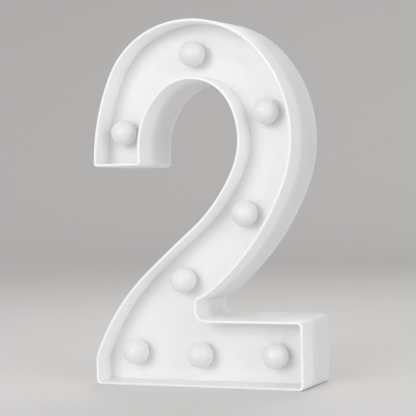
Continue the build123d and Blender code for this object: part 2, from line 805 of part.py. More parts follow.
def feed_lead(name, start, end, run):
    """A feed that leaves and arrives along the width, with one slanting run between."""
    return lead(name, [start, (start[0] - run, start[1], start[2]), (end[0] + run, end[1], end[2]), end])


def tab_end(side):
    """Where a lead meets the solder tab of the contact on that side."""
    x = box_left_x - box_wall - contact_tab_length - lead_end_gap
    return (x, contact_tab_y + contact_thickness / 2, box_centre_z + side * cell_offset_z)


def feed_black():
    """From the negative contact's tab to the black sleeve."""
    end_x = sleeve_place_share * foot_width + sleeve_length / 2 + lead_end_gap
    return feed_lead("feed_black", tab_end(1), (end_x, feed_y, sleeve_centre_z(-1)), feed_run)


def feed_battery():
    """From the positive contact's tab to the nearer tag of the switch."""
    tag_x = switch_place[0] + (switch_terminal_pitch + switch_terminal_thickness) / 2 + lead_end_gap
    return feed_lead("feed_battery", tab_end(-1), (tag_x, tag_y, switch_place[1]), feed_run)


def feed_red():
    """From the farther tag of the switch round to the red sleeve."""
    tag_x = switch_place[0] - (switch_terminal_pitch + switch_terminal_thickness) / 2 - lead_end_gap
    end_x = sleeve_place_share * foot_width - sleeve_length / 2 - lead_end_gap
    end_z = sleeve_centre_z(1)
    tag_z = switch_place[1]
    rise = tag_y - feed_y
    far_x = tag_x - feed_loop_reach
    near_x = tag_x - feed_loop_reach / 2
    return lead("feed_red", [(tag_x, tag_y, tag_z), (near_x, tag_y, tag_z),
                             (far_x, tag_y - rise / 4, tag_z - (tag_z - end_z) / 4),
                             (far_x, feed_y + rise / 4, tag_z - (tag_z - end_z) / 2),
                             (near_x, feed_y, end_z), (end_x, feed_y, end_z)])


def main():
    """Writes each piece to its own file."""
    os.makedirs("parts", exist_ok=True)
    pieces = {"front_housing": housing(), "back_cover": back_cover(), "battery_box": battery_box(),
              "battery_door": battery_door(), "switch_body": switch_body(), "switch_frame": switch_frame(),
              "switch_slider": switch_slider(), "switch_terminals": switch_terminals(),
              "cell_contact_positive": contact_plate(-1, [-1]),
              "cell_contact_negative": contact_plate(-1, [1]),
              "cell_contact_bridge": contact_plate(1, [-1, 1])}
    for number, side in ((1, 1), (2, -1)):
        pieces[f"aa_cell_{number}"] = aa_cell(side)
        pieces[f"cell_spring_{number}"] = cell_spring(side)
    for number, place in enumerate(bulb_places, 1):
        pieces[f"bulb_cover_{number}"] = bulb_cover(place)
        pieces[f"led_{number}"] = led(place)
        pieces[f"led_board_{number}"] = led_board(place)
    for number, place in enumerate(boss_places, 1):
        pieces[f"cover_screw_{number}"] = cover_screw(place)
    for color, side in (("red", 1), ("black", -1)):
        pieces[f"pair_lead_{color}"] = pair_lead(f"pair_lead_{color}", side)
        pieces[f"splice_sleeve_{color}"] = splice_sleeve(pieces[f"pair_lead_{color}"], side)
    pieces["feed_lead_black"] = feed_black()
    pieces["feed_lead_battery"] = feed_battery()
    pieces["feed_lead_red"] = feed_red()
    for name, shape in pieces.items():
        export_step(shape, f"parts/{name}.step")
        print(name, round(shape.volume, 2))


main()
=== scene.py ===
"""Light up marquee number: studio, finishes and every visible piece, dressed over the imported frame."""
import logging
import math
from collections.abc import Iterable
from dataclasses import dataclass, field
from enum import Enum

import bmesh
import bpy
from mathutils import Matrix, Vector


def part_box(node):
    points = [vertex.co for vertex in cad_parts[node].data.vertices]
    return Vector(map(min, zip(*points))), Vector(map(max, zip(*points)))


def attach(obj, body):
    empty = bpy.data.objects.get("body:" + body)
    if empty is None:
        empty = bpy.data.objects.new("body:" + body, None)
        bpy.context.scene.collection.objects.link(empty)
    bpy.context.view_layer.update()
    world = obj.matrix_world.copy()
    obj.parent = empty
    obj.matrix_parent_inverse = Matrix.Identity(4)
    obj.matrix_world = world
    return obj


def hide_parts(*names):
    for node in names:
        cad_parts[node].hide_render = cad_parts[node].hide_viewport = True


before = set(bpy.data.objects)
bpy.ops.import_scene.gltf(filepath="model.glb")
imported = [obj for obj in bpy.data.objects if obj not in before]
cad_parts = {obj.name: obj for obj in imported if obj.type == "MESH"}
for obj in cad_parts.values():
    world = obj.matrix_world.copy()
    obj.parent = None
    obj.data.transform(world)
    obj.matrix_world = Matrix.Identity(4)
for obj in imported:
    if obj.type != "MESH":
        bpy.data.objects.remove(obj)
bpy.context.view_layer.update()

log = logging.getLogger("marquee_number")
MM = 0.001
UP = math.pi / 2
# Turns and headings are in radians, places in millimetres; smaller differences than these don't count.
LEAST_TURN = 1e-9
SAME_HEADING = 1e-6
SAME_PLACE = 1e-5
# Width of the strip of faces beside a plate's round edge, in radii of the edge.
EDGE_STRIP_SHARE = 2.2
Point = tuple[float, float]
Place = tuple[float, float, float]
Color = tuple[float, float, float]


class Body(Enum):
    """The bodies of the frame that pieces ride on."""

    FIGURE = "figure"
    DOOR = "door"
    SLIDER = "slider"


class Look(Enum):
    """The object's finishes, by the part that has them."""

    SHELL = "white_shell"
    COVER = "stippled_back"
    GLOBE = "frosted_globe"
    STEEL = "plated_steel"
    SWITCH = "switch_black"
    BOARD = "board_laminate"
    RED = "red_insulation"
    BLACK = "black_insulation"
    SLEEVE = "cell_sleeve"
    BAND = "cell_band"
    RESIN = "led_resin"
    SOLDER = "solder"


class Slot(Enum):
    """The record's material slots."""

    SHELL = "white_shell"
    GLOBE = "frosted_globe"
    STEEL = "steel"
    SWITCH = "switch_black"
    CELL = "cell_wrap"


@dataclass(frozen=True)
class Stretch:
    """One straight or round stretch of an outline: where it starts, its heading, length and whole turn."""

    start: Point
    heading: float
    length: float
    turn: float = 0.0

    def at(self, distance: float) -> Point:
        """The point at a distance along the stretch.

        Args:
            distance: how far along.

        Returns:
            The point.
        """
        x, z = self.start
        if abs(self.turn) < LEAST_TURN:
            return (x + distance * math.cos(self.heading), z + distance * math.sin(self.heading))
        bend = self.turn / self.length
        angle = self.heading + bend * distance
        return (x + (math.sin(angle) - math.sin(self.heading)) / bend,
                z - (math.cos(angle) - math.cos(self.heading)) / bend)

    def heading_at(self, distance: float) -> float:
        """The heading at a distance along the stretch."""
        return self.heading + self.turn * distance / self.length

    def beside(self, distance: float, amount: float) -> Point:
        """The point beside the stretch.

        Args:
            distance: how far along.
            amount: how far to its left.

        Returns:
            The point.
        """
        x, z = self.at(distance)
        angle = self.heading_at(distance)
        return (x - math.sin(angle) * amount, z + math.cos(angle) * amount)

    def trimmed(self, before: float, after: float) -> "Stretch":
        """The stretch without a length at each end."""
        rest = self.length - before - after
        return Stretch(self.at(before), self.heading_at(before), rest, self.turn * rest / self.length)

    def reverse(self) -> "Stretch":
        """The same stretch walked the other way."""
        return Stretch(self.at(self.length), self.heading + self.turn + math.pi, self.length, -self.turn)


@dataclass(frozen=True)
class Spot:
    """A sample of an outline: its place, its outward direction and the round corner that it is on."""

    place: Point
    outward: Point
    radius: float = math.inf
    middle: Point = (0.0, 0.0)
    half_turn: float = 0.0

    def moved(self, distance: float) -> Point:
        """The spot moved outward; drawn in past a corner's centre, the corner closes to a point.

        Args:
            distance: how far outward.

        Returns:
            The moved place.
        """
        x, z = self.place
        if distance >= -self.radius:
            return (x + self.outward[0] * distance, z + self.outward[1] * distance)
        beyond = (-distance - self.radius) / math.cos(self.half_turn)
        return (x - self.outward[0] * self.radius - self.middle[0] * beyond,
                z - self.outward[1] * self.radius - self.middle[1] * beyond)


@dataclass(frozen=True)
class Rim:
    """A closed outline in samples, with the material on its right as it is walked."""

    spots: tuple[Spot, ...]

    def moved(self, distance: float) -> list[Point]:
        """The outline moved outward by a distance."""
        return [spot.moved(distance) for spot in self.spots]


@dataclass(frozen=True)
class Corner:
    """A corner of a section: a step outward or a radius, its place along, its round and its lowest height."""

    across: float
    along: float
    radius: float = 0.0
    floor: float = -math.inf


def wrapped(angle: float) -> float:
    """An angle brought between minus and plus half a turn."""
    return math.atan2(math.sin(angle), math.cos(angle))


def straight(start: Point, end: Point) -> Stretch:
    """A straight stretch between two points."""
    return Stretch(start, math.atan2(end[1] - start[1], end[0] - start[0]), math.dist(start, end))


def tangent_run(start: Point, heading: float, points: list[Point]) -> list[Stretch]:
    """Round stretches through points, each tangent to the one before it.

    Args:
        start: first point.
        heading: heading at the first point, in radians.
        points: the points to pass through.

    Returns:
        One stretch for each point.
    """
    run = []
    for point in points:
        chord = straight(start, point)
        half_turn = wrapped(chord.heading - heading)
        run.append(Stretch(start, heading, chord.length * half_turn / math.sin(half_turn), half_turn * 2))
        start = point
        heading = heading + half_turn * 2
    return run


def corner_cuts(here: Stretch, after: Stretch, radius: float, steps: int = 40) -> tuple[float, float]:
    """What a round corner takes off two stretches.

    Args:
        here: the stretch that ends at the corner.
        after: the stretch that starts there.
        radius: the corner's radius.
        steps: how often the gap is closed more finely.

    Returns:
        The length taken off the end of the first and off the start of the second.
    """
    turn = wrapped(after.heading - here.heading_at(here.length))
    side = radius if turn > 0 else -radius
    before = beyond = radius * math.tan(abs(turn) / 2)
    for _ in range(steps):
        first = here.beside(here.length - before, side)
        last = after.beside(beyond, side)
        gap = (last[0] - first[0], last[1] - first[1])
        arriving = here.heading_at(here.length - before)
        leaving = after.heading_at(beyond)
        spread = math.sin(leaving - arriving)
        before = before - (gap[0] * math.sin(leaving) - gap[1] * math.cos(leaving)) / spread
        beyond = beyond - (math.cos(arriving) * gap[1] - math.sin(arriving) * gap[0]) / spread
    return before, beyond


def rounded(stretches: list[Stretch], radii: dict[int, float]) -> list[Stretch]:
    """A closed outline with round corners.

    Args:
        stretches: the stretches in order.
        radii: corner radius by the number of the stretch that ends there.

    Returns:
        The stretches with the corner arcs between them.
    """
    count = len(stretches)
    cuts = {number: (0.0, 0.0) for number in range(count)}
    for number, radius in radii.items():
        cuts[number] = corner_cuts(stretches[number], stretches[(number + 1) % count], radius)
    rests = [stretch.trimmed(cuts[(number - 1) % count][1], cuts[number][0])
             for number, stretch in enumerate(stretches)]
    outline = []
    for number, rest in enumerate(rests):
        outline.append(rest)
        if number in radii:
            heading = rest.heading_at(rest.length)
            turn = wrapped(rests[(number + 1) % count].heading - heading)
            outline.append(Stretch(rest.at(rest.length), heading, radii[number] * abs(turn), turn))
    return outline


def polygon(points: list[Point], radius: float) -> list[Stretch]:
    """A clockwise polygon with every corner rounded."""
    sides = [straight(start, end) for start, end in zip(points, points[1:] + points[:1])]
    return rounded(sides, {number: radius for number in range(len(sides))})


def box_outline(low: Point, high: Point, radius: float) -> list[Stretch]:
    """A clockwise rectangle with round corners."""
    return polygon([low, (low[0], high[1]), high, (high[0], low[1])], radius)


def circle_outline(place: Point, radius: float) -> list[Stretch]:
    """A clockwise circle."""
    return [Stretch((place[0] - radius, place[1]), UP, radius * math.tau, -math.tau)]


def hole(stretches: list[Stretch]) -> list[Stretch]:
    """An outline walked the other way, as the edge of a hole."""
    return [stretch.reverse() for stretch in reversed(stretches)]


def sampled(stretches: list[Stretch], longest: float = 2.5, sharpest: float = 6.0) -> Rim:
    """Samples of an outline, close where it bends.

    Args:
        stretches: the stretches in order, with the material on their right.
        longest: longest step in millimetres.
        sharpest: largest turn in a step, in degrees.

    Returns:
        The outline in samples.
    """
    spots = []
    before = stretches[-1]
    for stretch in stretches:
        by_length = math.ceil(stretch.length / longest)
        by_turn = math.ceil(math.degrees(abs(stretch.turn)) / sharpest)
        steps = max(by_length, by_turn, 1)
        smooth = abs(wrapped(before.heading + before.turn - stretch.heading)) < SAME_HEADING
        for step in range(steps):
            distance = stretch.length * step / steps
            angle = stretch.heading_at(distance)
            meeting = [stretch, before] if step == 0 and smooth else [stretch]
            bends = [bend for bend in meeting if bend.turn < -LEAST_TURN]
            tightest = min(bends, key=lambda bend: bend.length / -bend.turn, default=None)
            outward = (-math.sin(angle), math.cos(angle))
            if tightest is None:
                spots.append(Spot(stretch.at(distance), outward))
                continue
            middle = tightest.heading_at(tightest.length / 2)
            spots.append(Spot(stretch.at(distance), outward, tightest.length / -tightest.turn,
                              (-math.sin(middle), math.cos(middle)), -tightest.turn / 2))
        before = stretch
    return Rim(tuple(spots))


def rounded_section(corners: list[Corner], steps: int = 4) -> list[Corner]:
    """A section's corners drawn as short arcs.

    Args:
        corners: the corners in order; the first and the last stay as they are.
        steps: pieces in each arc.

    Returns:
        Plain points of the section.
    """
    places = [(corner.across, corner.along) for corner in corners]
    points = []
    for number, corner in enumerate(corners):
        if corner.radius <= 0 or number in (0, len(corners) - 1):
            points.append(corner)
            continue
        first = straight(places[number - 1], places[number])
        last = straight(places[number], places[number + 1])
        turn = wrapped(last.heading - first.heading)
        reach = corner.radius * math.tan(abs(turn) / 2)
        arc = Stretch(first.at(first.length - reach), first.heading, corner.radius * abs(turn), turn)
        for step in range(steps + 1):
            across, along = arc.at(arc.length * step / steps)
            points.append(Corner(across, along, 0.0, corner.floor))
    return points


class Form:
    """A mesh in the making, in millimetres. New faces get the finish number that is set at the time."""

    def __init__(self) -> None:
        """Starts empty."""
        self.body = bmesh.new()
        self.finish_number = 0

    def face(self, corners: list[bmesh.types.BMVert]) -> None:
        """A face between corners, unless too few of them differ.

        Args:
            corners: the corners in order, some of which may be the same one.
        """
        distinct = list(dict.fromkeys(corners))
        if len(distinct) > 2:
            self.body.faces.new(distinct).material_index = self.finish_number

    def ring(self, points: Iterable[Vector]) -> list[bmesh.types.BMVert]:
        """A closed ring of corners, where points that coincide share one corner.

        Args:
            points: the ring's points in order.

        Returns:
            One corner for each point.
        """
        ring = []
        for point in points:
            if ring and (ring[-1].co - point).length < SAME_PLACE:
                ring.append(ring[-1])
            elif ring and (ring[0].co - point).length < SAME_PLACE:
                ring.append(ring[0])
            else:
                ring.append(self.body.verts.new(point))
        return ring

    def band(self, first: list[bmesh.types.BMVert], last: list[bmesh.types.BMVert]) -> None:
        """Faces between two rings, of which one may be a single corner.

        Args:
            first: one ring.
            last: the other ring.
        """
        count = max(len(first), len(last))
        for step in range(count):
            after = (step + 1) % count
            self.face([first[step % len(first)], first[after % len(first)],
                       last[after % len(last)], last[step % len(last)]])

    def cap(self, rings: list[list[bmesh.types.BMVert]]) -> None:
        """Fills a flat area.

        Args:
            rings: its outer ring and then its holes.
        """
        edges = []
        for ring in rings:
            for start, end in zip(ring, ring[1:] + ring[:1]):
                if start is not end:
                    edges.append(self.body.edges.get((start, end)) or self.body.edges.new((start, end)))
        made = bmesh.ops.triangle_fill(self.body, edges=list(dict.fromkeys(edges)), use_beauty=True)
        for item in made["geom"]:
            if isinstance(item, bmesh.types.BMFace):
                item.material_index = self.finish_number

    def sweep(self, rim: Rim, section: list[Corner]) -> list[list[bmesh.types.BMVert]]:
        """A section carried round an outline across the depth.

        Args:
            rim: the outline.
            section: steps outward, depths and lowest heights.

        Returns:
            The rings, one for each point of the section.
        """
        rings = []
        for corner in section:
            flat = rim.moved(corner.across)
            rings.append(self.ring(Vector((x, corner.along, max(z, corner.floor))) for x, z in flat))
        for first, last in zip(rings, rings[1:]):
            self.band(first, last)
        return rings

    def plate(self, outlines: list[list[Stretch]], low: float, high: float, edge: float,
              grown: float = 0.0, floor: float = -math.inf) -> None:
        """A plate across the depth with round edges.

        Args:
            outlines: its outline and then its holes.
            low: depth of its front face.
            high: depth of its back face.
            edge: radius of its edges.
            grown: how far its outline is moved outward.
            floor: lowest height of the outline.
        """
        fronts, backs = [], []
        for number, stretches in enumerate(outlines):
            outer = grown if number == 0 else 0.0
            lowest = floor if number == 0 else -math.inf
            inner = outer - edge * EDGE_STRIP_SHARE
            corners = [Corner(inner, low), Corner(outer, low, edge), Corner(outer, high, edge),
                       Corner(inner, high)]
            section = [Corner(point.across, point.along, 0.0, lowest + outer - point.across)
                       for point in rounded_section(corners)]
            rings = self.sweep(sampled(stretches), section)
            fronts.append(rings[0])
            backs.append(rings[-1])
        self.cap(fronts)
        self.cap(backs)

    def turned(self, section: list[Corner], place: Place, direction: Vector, segments: int = 48) -> None:
        """A section of radius and height spun about an axis.

        Args:
            section: points of radius and height; a zero radius closes an end.
            place: the foot of the axis.
            direction: the axis, of unit length.
            segments: divisions round the axis.
        """
        turn = Vector((0, 0, 1)).rotation_difference(direction)
        base = Vector(place)
        rings = []
        for corner in section:
            ring = []
            count = segments if corner.across > SAME_PLACE else 1
            for step in range(count):
                angle = math.tau * step / segments
                across = (corner.across * math.cos(angle), corner.across * math.sin(angle))
                ring.append(self.body.verts.new(base + turn @ Vector((*across, corner.along))))
            rings.append(ring)
        for first, last in zip(rings, rings[1:]):
            self.band(first, last)

    def block(self, low: Place, high: Place, edge: float, segments: int = 3) -> None:
        """A box with round edges.

        Args:
            low: its lowest corner.
            high: its highest corner.
            edge: radius of its edges.
            segments: divisions across an edge.
        """
        made = bmesh.ops.create_cube(self.body, size=1.0)["verts"]
        size = Vector(high) - Vector(low)
        centre = (Vector(high) + Vector(low)) / 2
        for corner in made:
            corner.co = Vector((corner.co.x * size.x, corner.co.y * size.y, corner.co.z * size.z)) + centre
        edges = list({side for corner in made for side in corner.link_edges})
        faces = {side for corner in made for side in corner.link_faces}
        made = bmesh.ops.bevel(self.body, geom=edges, offset=edge, segments=segments, profile=0.5,
                               affect="EDGES")
        for side in faces | set(made["faces"]):
            if side.is_valid:
                side.material_index = self.finish_number

    def tube(self, points: list[Vector], radius: float, segments: int = 12) -> None:
        """A round wire along points, closed at its ends.

        Args:
            points: the line of its middle.
            radius: its radius.
            segments: divisions round it.
        """
        across = Vector((0, 0, 1))
        angles = [math.tau * step / segments for step in range(segments)]
        rings = []
        for number, point in enumerate(points):
            ahead = (points[min(number + 1, len(points) - 1)] - points[max(number - 1, 0)]).normalized()
            across = (across - ahead * across.dot(ahead)).normalized()
            above = ahead.cross(across)
            ways = [across * math.cos(angle) + above * math.sin(angle) for angle in angles]
            rings.append([self.body.verts.new(point + way * radius) for way in ways])
        for first, last in zip(rings, rings[1:]):
            self.band(first, last)
        self.face(list(reversed(rings[0])))
        self.face(rings[-1])

    def take(self, mesh: bpy.types.Mesh, place: Matrix) -> None:
        """Adds a ready mesh and uses it up.

        Args:
            mesh: the mesh.
            place: where it goes, with its turn.
        """
        mesh.transform(place)
        known = len(self.body.faces)
        self.body.from_mesh(mesh)
        self.body.faces.ensure_lookup_table()
        for side in self.body.faces[known:]:
            side.material_index = self.finish_number
        bpy.data.meshes.remove(mesh)

    def finished(self, name: str, finishes: list[bpy.types.Material],
                 crease: float = 35.0) -> bpy.types.Object:
        """The object of this form, shaded smooth except over sharp folds.

        Args:
            name: the piece's name.
            finishes: its materials in the order of the finish numbers.
            crease: folds sharper than this many degrees stay sharp.

        Returns:
            The linked object.
        """
        bmesh.ops.recalc_face_normals(self.body, faces=list(self.body.faces))
        self.body.transform(Matrix.Scale(MM, 4))
        mesh = bpy.data.meshes.new(name)
        self.body.to_mesh(mesh)
        self.body.free()
        mesh.shade_smooth()
        mesh.set_sharp_from_angle(angle=math.radians(crease))
        for material in finishes:
            mesh.materials.append(material)
        piece = bpy.data.objects.new(name, mesh)
        bpy.context.scene.collection.objects.link(piece)
        return piece


def dressed(piece: bpy.types.Object, body: Body, slot: Slot, *nodes: str) -> None:
    """Puts a piece on its body, in place of CAD nodes if any are named.

    Args:
        piece: the finished piece.
        body: the body that it moves with.
        slot: the record's slot of its finish; not used.
        nodes: the CAD nodes that it stands for.
    """
    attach(piece, body.value)
    if nodes:
        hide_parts(*nodes)
    log.info("%s rides on %s and stands for %s", piece.name, body.value, ", ".join(nodes) or "nothing")


class Layout:
    """Short helper for laying out the nodes of a material or a group."""

    def __init__(self, tree: bpy.types.NodeTree) -> None:
        """Starts with the tree that gets the nodes."""
        self.tree = tree

    def add(self, kind: str, inputs: dict[str, object] | None = None, **attributes: object) -> bpy.types.Node:
        """A node of a kind.

        Args:
            kind: the node's type name.
            inputs: values of its inputs by name.
            attributes: its settings by name.

        Returns:
            The node.
        """
        node = self.tree.nodes.new(kind)
        for name, value in attributes.items():
            setattr(node, name, value)
        for name, value in (inputs or {}).items():
            node.inputs[name].default_value = value
        return node

    def link(self, source: bpy.types.NodeSocket, target: bpy.types.NodeSocket) -> None:
        """Joins two sockets."""
        self.tree.links.new(source, target)


class MouldGrain:
    """Shared effect: fine tooth of a textured mould, slow patches of gloss and scattered rubbed spots."""

    def __init__(self) -> None:
        """Builds the group once."""
        self.tree = bpy.data.node_groups.new("mould_grain", "ShaderNodeTree")
        sockets = self.tree.interface
        for name in ("Grain Scale", "Patch Scale", "Rub Scale"):
            sockets.new_socket(name=name, in_out="INPUT", socket_type="NodeSocketFloat")
        for name in ("Height", "Patches", "Rubs"):
            sockets.new_socket(name=name, in_out="OUTPUT", socket_type="NodeSocketFloat")
        layout = Layout(self.tree)
        inside = layout.add("NodeGroupInput")
        outside = layout.add("NodeGroupOutput")
        place = layout.add("ShaderNodeTexCoord")
        fine = layout.add("ShaderNodeTexNoise", {"Detail": 3.0, "Roughness": 0.6})
        slow = layout.add("ShaderNodeTexNoise", {"Detail": 4.0, "Roughness": 0.55})
        specks = layout.add("ShaderNodeTexNoise", {"Detail": 6.0, "Roughness": 0.7, "Distortion": 0.4})
        for noise, socket in ((fine, "Grain Scale"), (slow, "Patch Scale"), (specks, "Rub Scale")):
            layout.link(place.outputs["Object"], noise.inputs["Vector"])
            layout.link(inside.outputs[socket], noise.inputs["Scale"])
        rubs = layout.add("ShaderNodeMapRange", {"From Min": 0.62, "From Max": 0.74},
                          interpolation_type="SMOOTHSTEP")
        layout.link(specks.outputs["Fac"], rubs.inputs["Value"])
        layout.link(fine.outputs["Fac"], outside.inputs["Height"])
        layout.link(slow.outputs["Fac"], outside.inputs["Patches"])
        layout.link(rubs.outputs["Result"], outside.inputs["Rubs"])


@dataclass(frozen=True)
class Finish:
    """A moulded, plated or printed finish: colour in slow patches, gloss in patches and rubs, fine grain."""

    look: Look
    color: Color
    patch_color: Color
    roughness: float = 0.4
    roughness_spread: float = 0.08
    rub_roughness: float = 0.1
    metallic: float = 0.0
    grain_scale: float = 2500.0
    patch_scale: float = 60.0
    rub_scale: float = 220.0
    grain_depth: float = 0.00002
    scatter: float = 0.0
    scatter_depth: float = 0.003
    coat: float = 0.0
    transmission: float = 0.0

    def material(self, grain: MouldGrain) -> bpy.types.Material:
        """Builds the material.

        Args:
            grain: the shared mould grain.

        Returns:
            The material.
        """
        material = bpy.data.materials.new(self.look.value)
        material.use_nodes = True
        layout = Layout(material.node_tree)
        shader = material.node_tree.nodes["Principled BSDF"]
        for name, value in (("Metallic", self.metallic), ("Subsurface Weight", self.scatter),
                            ("Subsurface Radius", (1.0, 1.0, 1.0)), ("Subsurface Scale", self.scatter_depth),
                            ("Coat Weight", self.coat), ("Transmission Weight", self.transmission)):
            shader.inputs[name].default_value = value
        effect = layout.add("ShaderNodeGroup", node_tree=grain.tree)
        for name, value in (("Grain Scale", self.grain_scale), ("Patch Scale", self.patch_scale),
                            ("Rub Scale", self.rub_scale)):
            effect.inputs[name].default_value = value
        tint = layout.add("ShaderNodeMix", data_type="RGBA")
        tint.inputs["A"].default_value = (*self.color, 1.0)
        tint.inputs["B"].default_value = (*self.patch_color, 1.0)
        gloss = layout.add("ShaderNodeMapRange", {"From Min": 0.3, "From Max": 0.7,
                                                  "To Min": self.roughness - self.roughness_spread,
                                                  "To Max": self.roughness + self.roughness_spread})
        rubbed = layout.add("ShaderNodeMath", {1: self.rub_roughness}, operation="MULTIPLY_ADD")
        bump = layout.add("ShaderNodeBump", {"Strength": 0.6, "Distance": self.grain_depth})
        layout.link(effect.outputs["Patches"], tint.inputs["Factor"])
        layout.link(effect.outputs["Patches"], gloss.inputs["Value"])
        layout.link(effect.outputs["Rubs"], rubbed.inputs[0])
        layout.link(gloss.outputs["Result"], rubbed.inputs[2])
        layout.link(effect.outputs["Height"], bump.inputs["Height"])
        layout.link(tint.outputs["Result"], shader.inputs["Base Color"])
        layout.link(rubbed.outputs["Value"], shader.inputs["Roughness"])
        layout.link(bump.outputs["Normal"], shader.inputs["Normal"])
        return material


@dataclass
class Finishes:
    """Every finish of the object, each built once."""

    recipes: tuple[Finish, ...] = (
        Finish(Look.SHELL, (0.92, 0.92, 0.915), (0.94, 0.94, 0.935), roughness=0.36, scatter=1.0,
               scatter_depth=0.0024),
        Finish(Look.COVER, (0.81, 0.81, 0.805), (0.84, 0.84, 0.835), roughness=0.52, grain_scale=1400.0,
               grain_depth=0.00008, scatter=0.3, scatter_depth=0.0016),
        Finish(Look.GLOBE, (0.89, 0.89, 0.90), (0.91, 0.91, 0.92), roughness=0.2, roughness_spread=0.04,
               scatter=0.9, scatter_depth=0.0018),
        Finish(Look.STEEL, (0.62, 0.62, 0.63), (0.70, 0.70, 0.71), roughness=0.28, metallic=1.0,
               grain_scale=900.0, patch_scale=300.0, grain_depth=0.00001),
        Finish(Look.SWITCH, (0.02, 0.02, 0.022), (0.032, 0.032, 0.034), roughness=0.42),
        Finish(Look.BOARD, (0.70, 0.72, 0.58), (0.76, 0.78, 0.64), roughness=0.5),
        Finish(Look.RED, (0.50, 0.025, 0.02), (0.58, 0.04, 0.03), roughness=0.45),
        Finish(Look.BLACK, (0.02, 0.02, 0.02), (0.035, 0.035, 0.035), roughness=0.5),
        Finish(Look.SLEEVE, (0.10, 0.14, 0.19), (0.12, 0.165, 0.22), roughness=0.3, coat=0.3),
        Finish(Look.BAND, (0.62, 0.63, 0.65), (0.68, 0.69, 0.71), roughness=0.3, metallic=0.3, coat=0.3),
        Finish(Look.RESIN, (0.92, 0.90, 0.80), (0.96, 0.94, 0.86), roughness=0.12, transmission=0.8),
        Finish(Look.SOLDER, (0.55, 0.55, 0.56), (0.64, 0.64, 0.65), roughness=0.34, metallic=1.0,
               patch_scale=900.0))
    made: dict[Look, bpy.types.Material] = field(default_factory=dict)

    def build(self) -> None:
        """Builds each finish's material."""
        grain = MouldGrain()
        for recipe in self.recipes:
            self.made[recipe.look] = recipe.material(grain)
            log.info("finish %s", recipe.look.value)

    def of(self, *looks: Look) -> list[bpy.types.Material]:
        """The materials of the named looks."""
        return [self.made[look] for look in looks]


